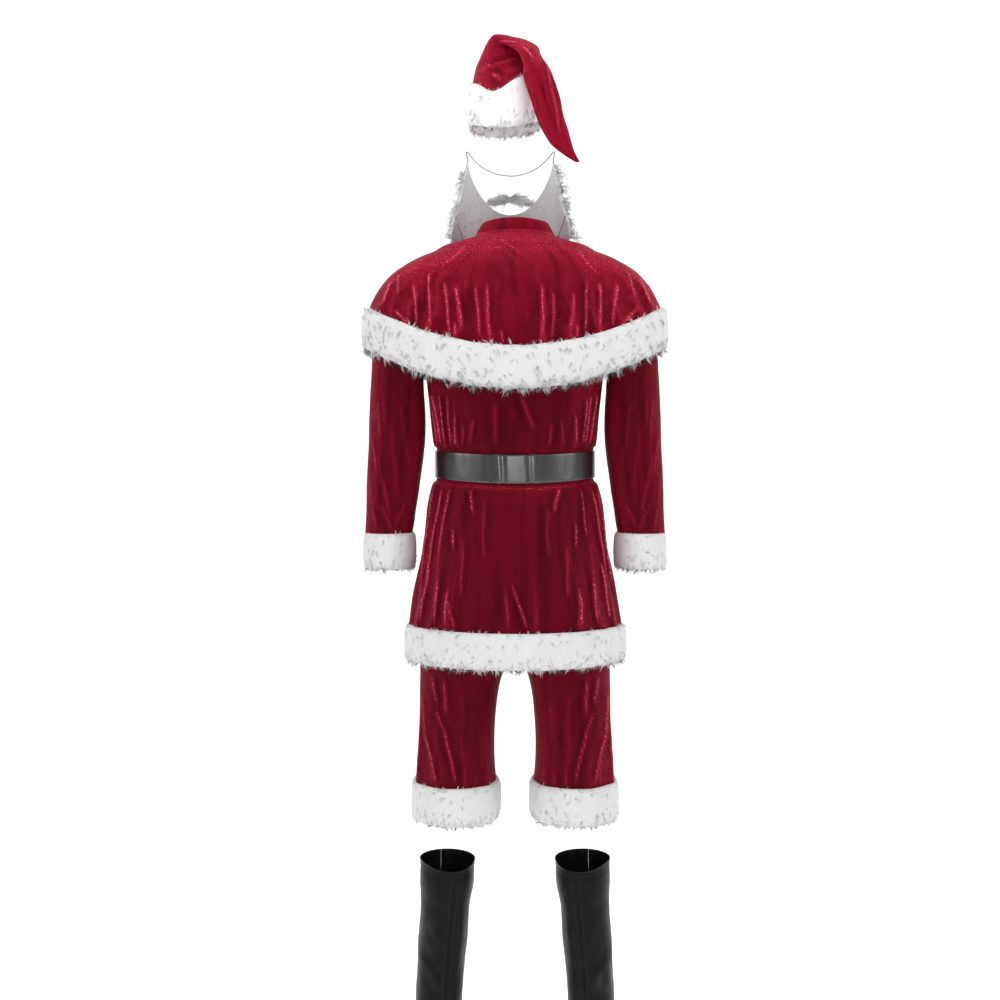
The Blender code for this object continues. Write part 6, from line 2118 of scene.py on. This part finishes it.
@dataclass
class Beard:
    """The beard: a cloth backing from ear to ear, curled hair on it, a moustache and an elastic."""

    centre: Pair = (0.008, -0.020)
    sweep: float = 1.35
    arc: Pair = (math.radians(4.0), math.radians(176.0))
    backing_rows: int = 3
    backing_wall: float = 0.0020
    ear_thickness: float = 0.014
    chin_thickness: float = 0.030
    columns: int = 110
    steps_per_row: int = 9
    hair_wall: float = 0.0012
    curl_length: float = 0.032
    curl_density: float = 7000.0
    curl_seed: int = 23
    tousle: float = 1.5
    moustache_reach: float = 0.052
    moustache_out: float = 0.1082
    moustache_z: float = 0.080
    moustache_droop: float = 0.014
    moustache_radius: float = 0.0115
    moustache_length: float = 0.016
    moustache_density: float = 34000.0
    moustache_seed: int = 29
    backing_cut: Pair = (0.300, 0.110)
    elastic_diameter: float = 0.0025
    elastic_route: tuple[Triple, ...] = (
        (0.0866, -0.0296, 0.1313), (0.0870, -0.0270, 0.1380), (0.0885, -0.0160, 0.1445),
        (0.0880, 0.0040, 0.1455), (0.0840, 0.0250, 0.1390), (0.0750, 0.0470, 0.1240),
        (0.0610, 0.0660, 0.1075), (0.0420, 0.0805, 0.0945), (0.0205, 0.0880, 0.0877),
        (0.0000, 0.0885, 0.0870), (-0.0210, 0.0830, 0.0930), (-0.0400, 0.0710, 0.1045),
        (-0.0550, 0.0530, 0.1205), (-0.0655, 0.0310, 0.1365), (-0.0712, 0.0080, 0.1450),
        (-0.0722, -0.0140, 0.1445), (-0.0712, -0.0270, 0.1380), (-0.0706, -0.0296, 0.1313),
    )
    levels: tuple[BeardLevel, ...] = in_metres(
        BeardLevel,
        (134, 80, 48, 93, 0.35), (108, 85, 18, 100, 0.80), (72, 93, -22, 112, 1.00),
        (38, 101, -64, 124, 1.00), (14, 106, -104, 135, 0.85), (2, 108, -132, 141, 0.35),
        shares=1,
    )

    def surface(self, angle: Array, row: Array) -> Array:
        """The backing's outer points, from the left ear round the chin to the right ear."""
        angle, row = np.broadcast_arrays(np.asarray(angle, float), np.asarray(row, float))
        ear_z, half_width, chin_z, depth, _ = np.moveaxis(smooth_rows(self.levels, row), -1, 0)
        across = self.centre[0] + half_width * np.cos(angle)
        along = self.centre[1] - depth * np.sin(angle)
        height = ear_z + (chin_z - ear_z) * np.abs(np.sin(angle)) ** self.sweep
        return np.stack([across, along, height], axis=-1)

    def build(self, room: Workroom) -> None:
        """Make the backing, the hair, the moustache and the elastic."""
        rows = spread_rows(self.backing_rows, 8)
        angle, row = np.meshgrid(np.linspace(*self.arc, self.columns + 1), rows)
        backing = ClothGrid(self.surface(angle, row), flipped=True).build("beard_backing", self.backing_wall)
        room.dress(backing, room.backing, Slot.BEARD_CLOTH, "beard_backing")
        hair = self.build_hair(room)
        self.build_moustache(room)
        self.build_elastic(room)

    def build_hair(self, room: Workroom) -> Object:
        """The full hair, as a soft body with curls all over it."""
        rows = spread_rows(len(self.levels) - 1, self.steps_per_row)
        angle, row = np.meshgrid(np.linspace(*self.arc, self.columns + 1), rows)
        outer, normal = self.surface(angle, row), -outward(self.surface, angle, row)
        fullness = smooth_rows(self.levels, row)[..., 4]
        spread = np.sin(angle) ** 2
        deep = self.ear_thickness + (self.chin_thickness - self.ear_thickness) * spread
        first, last = self.arc
        ends = smoothstep(angle, first, first + 0.12) * (1 - smoothstep(angle, last - 0.12, last))
        thick = np.maximum(deep * fullness * (0.62 - 0.10 * spread) * (0.5 + 0.5 * ends), 0.0015)
        face = outer + normal * (SEAM_GAP + thick)[..., None]
        lumps = noise_field(face, (34.0, 34.0, 30.0), 181.0)
        lumps = lumps + 0.6 * noise_field(face, (75.0, 75.0, 70.0), 187.0)
        face = face + normal * (0.0030 * lumps * np.minimum(1.0, thick / 0.006))[..., None]
        grid = ClothGrid(face, flipped=True)
        piece = grid.build("beard_hair", self.hair_wall)
        mesh = piece.data
        count = face.shape[0] * face.shape[1]
        inner = (outer + normal * SEAM_GAP).reshape(-1, 3)
        places = np.concatenate([face.reshape(-1, 3), inner])
        mesh.vertices.foreach_set("co", places.ravel())
        mesh.update()
        along_row = row.reshape(-1) / (len(self.levels) - 1)
        low = smoothstep(along_row, 0.55, 1.0)
        rim = np.maximum(low, (1 - ends).reshape(-1))
        inside = smoothstep(along_row, 0.25, 0.60)
        ear = (1 - ends).reshape(-1)
        cover = np.concatenate([0.85 + 0.55 * rim + 2.2 * ear, 0.35 + 0.6 * np.maximum(rim, inside)])
        pile = np.concatenate([0.80 + 0.45 * low + 0.25 * ear, 0.60 + 0.35 * low])
        pile *= 1 - 0.35 * np.tile(np.broadcast_to(spread, angle.shape).reshape(-1), 2)
        patches = 1 + 0.25 * np.tile(lumps.reshape(-1), 2)
        hanging = np.tile(np.array((0.0, 0.0, -1.0)), (2 * count, 1))
        comb = hanging + 0.25 * np.concatenate([normal.reshape(-1, 3)] * 2)
        comb = comb + np.tile(ear, 2)[:, None] * np.array((0.0, 0.7, 0.3))
        self.give_hair(piece, cover * patches, pile, comb)
        self.grow(room, piece, self.curl_density, self.curl_length, self.curl_seed)
        return room.dress(piece, room.beard, Slot.BEARD_HAIR, "beard_hair")

    def build_moustache(self, room: Workroom) -> None:
        """Two drooping lobes over the upper lip, parted in the middle."""
        share = np.linspace(-1.0, 1.0, 81)
        lobe = np.sin(math.pi * np.minimum(np.abs(share) + 0.15, 1.0))
        swell = self.moustache_radius * (0.35 + 0.65 * lobe) * 0.80
        line = np.stack(
            [
                self.centre[0] + self.moustache_reach * share,
                self.centre[1] - self.moustache_out * np.sqrt(1 - 0.28 * share**2),
                self.moustache_z - self.moustache_droop * share**2,
            ],
            axis=-1,
        )
        mesh = tube_mesh("beard_moustache", [(line, swell)], 24)
        piece = put("beard_moustache_curls", mesh)
        places = np.empty(3 * len(mesh.vertices))
        mesh.vertices.foreach_get("co", places)
        places = places.reshape(-1, 3)
        side = np.sign(places[:, :1] - self.centre[0]) * np.array((1.0, 0.0, 0.0))
        comb = side * 0.9 + np.array((0.0, -0.2, -0.55))
        self.give_hair(piece, np.ones(len(places)), np.ones(len(places)), comb)
        self.grow(room, piece, self.moustache_density, self.moustache_length, self.moustache_seed)
        room.dress(piece, room.beard, Slot.BEARD_HAIR, "beard_moustache")

    def give_hair(self, piece: Object, cover: Array, pile: Array, comb: Array) -> None:
        """Store how much hair each place has, how long it is and which way it lies."""
        mesh = piece.data
        old = mesh.attributes.get("along")
        if old:
            mesh.attributes.remove(old)
        # The hair's body takes a colour near the roots', painted shade under the curls.
        for label, amounts in (("cover", cover), ("pile", pile), ("along", 0.25 + 0 * cover)):
            store(mesh, label, amounts)
        store(mesh, "comb", unit(comb), "FLOAT_VECTOR")

    def grow(self, room: Workroom, piece: Object, density: float, length: float, seed: int) -> None:
        """Grow curls on a piece."""
        settings = {"Locks": room.curls, "Density": density, "Length": length, "Tousle": self.tousle}
        settings |= {"Variants": room.curl_variants - 1, "Seed": seed, "Finish": room.beard}
        run_tree(piece, room.pile_tree, settings)

    def build_elastic(self, room: Workroom) -> None:
        """The round elastic behind the head."""
        points = smooth_rows(self.elastic_route, np.linspace(0, len(self.elastic_route) - 1, 120))
        curve = bpy.data.curves.new("beard_elastic", "CURVE")
        curve.dimensions = "3D"
        curve.bevel_depth = self.elastic_diameter / 2
        curve.bevel_resolution = 3
        curve.use_fill_caps = True
        spline = curve.splines.new("POLY")
        spline.points.add(len(points) - 1)
        for target, point in zip(spline.points, points):
            target.co = (*(float(value) for value in point), 1.0)
        curve.materials.append(room.elastic)
        cord = put("beard_elastic_braid", curve)
        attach(cord, "root")
        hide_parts("beard_elastic")


class Lamp(NamedTuple):
    """One soft lamp: where it stands, the height on the body's axis that it points at, and its power."""

    name: str
    place: Triple
    target_z: float
    size: Pair
    power: float


@dataclass
class Studio:
    """A pale floor that curves up into a backdrop, soft lights and the camera."""

    camera_place: Triple = (0.0273, 2.60, -0.360)
    rise: float = -0.070
    lens: float = 51.4
    floor_z: float = -1.5815
    backdrop_glow: float = 0.55
    sky_strength: float = 0.30
    lamps: tuple[Lamp, ...] = (
        Lamp("side_left", (2.4, 1.5, 0.6), -0.35, (1.2, 2.0), 24.0),
        Lamp("side_right", (-2.4, 1.5, 0.6), -0.35, (1.2, 2.0), 24.0),
        Lamp("above", (0.0, 1.2, 2.2), -0.10, (1.8, 1.2), 38.0),
        Lamp("camera_side", (0.05, 3.6, -0.2), -0.43, (1.1, 0.8), 16.0),
        Lamp("front_left", (1.9, -2.2, 0.8), -0.50, (1.6, 2.4), 18.0),
        Lamp("front_right", (-1.9, -2.2, 0.8), -0.50, (1.6, 2.4), 18.0),
    )

    def build(self) -> None:
        """Make the set."""
        self.build_floor()
        for lamp in self.lamps:
            self.build_light(lamp)
        self.build_world()
        self.build_camera()

    def build_floor(self) -> None:
        """The floor and its backdrop."""
        turn = np.linspace(0.0, math.pi / 2, 24)
        bend, far = 1.6, -4.0
        curve = [(6.0, 0.0)] + [(far - bend * math.sin(t), bend * (1 - math.cos(t))) for t in turn]
        curve += [(far - bend, 7.0)]
        points = [(x, y, self.floor_z + z) for y, z in curve for x in (-9.0, 9.0)]
        faces = [(2 * k, 2 * k + 2, 2 * k + 3, 2 * k + 1) for k in range(len(curve) - 1)]
        mesh = bpy.data.meshes.new("backdrop")
        mesh.from_pydata(points, [], faces)
        mesh.shade_smooth()
        material, graph, shader = new_material("pale_paper")
        place = graph.add("ShaderNodeTexCoord").outputs["Object"]
        tone = graph.between(graph.noise(place, 1.2, 2.0), 0.3, 0.7)
        base = graph.blend(tone, colour(0.90, 0.90, 0.90), colour(0.925, 0.925, 0.925))
        graph.link(base, shader.inputs["Base Color"])
        set_inputs(shader, {
            "Roughness": 0.95, "Emission Color": colour(1.0, 1.0, 1.0),
            "Emission Strength": self.backdrop_glow,
        })
        mesh.materials.append(material)
        floor = put("backdrop", mesh)

    def build_light(self, lamp: Lamp) -> None:
        """A soft rectangular light that points at the body's axis."""
        light = bpy.data.lights.new(lamp.name, "AREA")
        light.shape, light.energy = "RECTANGLE", lamp.power
        light.size, light.size_y = lamp.size
        stand = put(lamp.name, light)
        stand.location = lamp.place
        aim = Vector((0.0, 0.0, lamp.target_z)) - Vector(lamp.place)
        stand.rotation_euler = aim.to_track_quat("-Z", "Y").to_euler()

    def build_world(self) -> None:
        """A soft even sky."""
        world = bpy.data.worlds.new("studio")
        world.use_nodes = True
        background = world.node_tree.nodes["Background"]
        set_inputs(background, {"Color": colour(1.0, 1.0, 1.0), "Strength": self.sky_strength})
        bpy.context.scene.world = world

    def build_camera(self) -> None:
        """The camera, level behind the wearer at hip height, framed a little downwards."""
        camera = bpy.data.cameras.new("camera")
        camera.lens, camera.sensor_width = self.lens, 36.0
        camera.shift_y = self.rise
        camera.clip_start, camera.clip_end = 0.05, 60.0
        view = put("camera", camera)
        view.location = self.camera_place
        view.rotation_euler = (math.pi / 2, 0.0, math.pi)
        bpy.context.scene.camera = view
        bpy.context.scene.view_settings.view_transform = "Standard"


def main() -> None:
    """Load the solids, dress them, and set the studio up round them."""
    logging.basicConfig(level=logging.INFO, format="%(message)s")
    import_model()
    room = Workroom()
    tunic = Tunic()
    tunic.build(room)
    Cape().build(room, tunic.shape)
    Belt().build(room, tunic.shape)
    Trousers().build(room, tunic.shape)
    BootCovers().build(room)
    Hat().build(room)
    Beard().build(room)
    Studio().build()


if __name__ == "__main__":
    main()
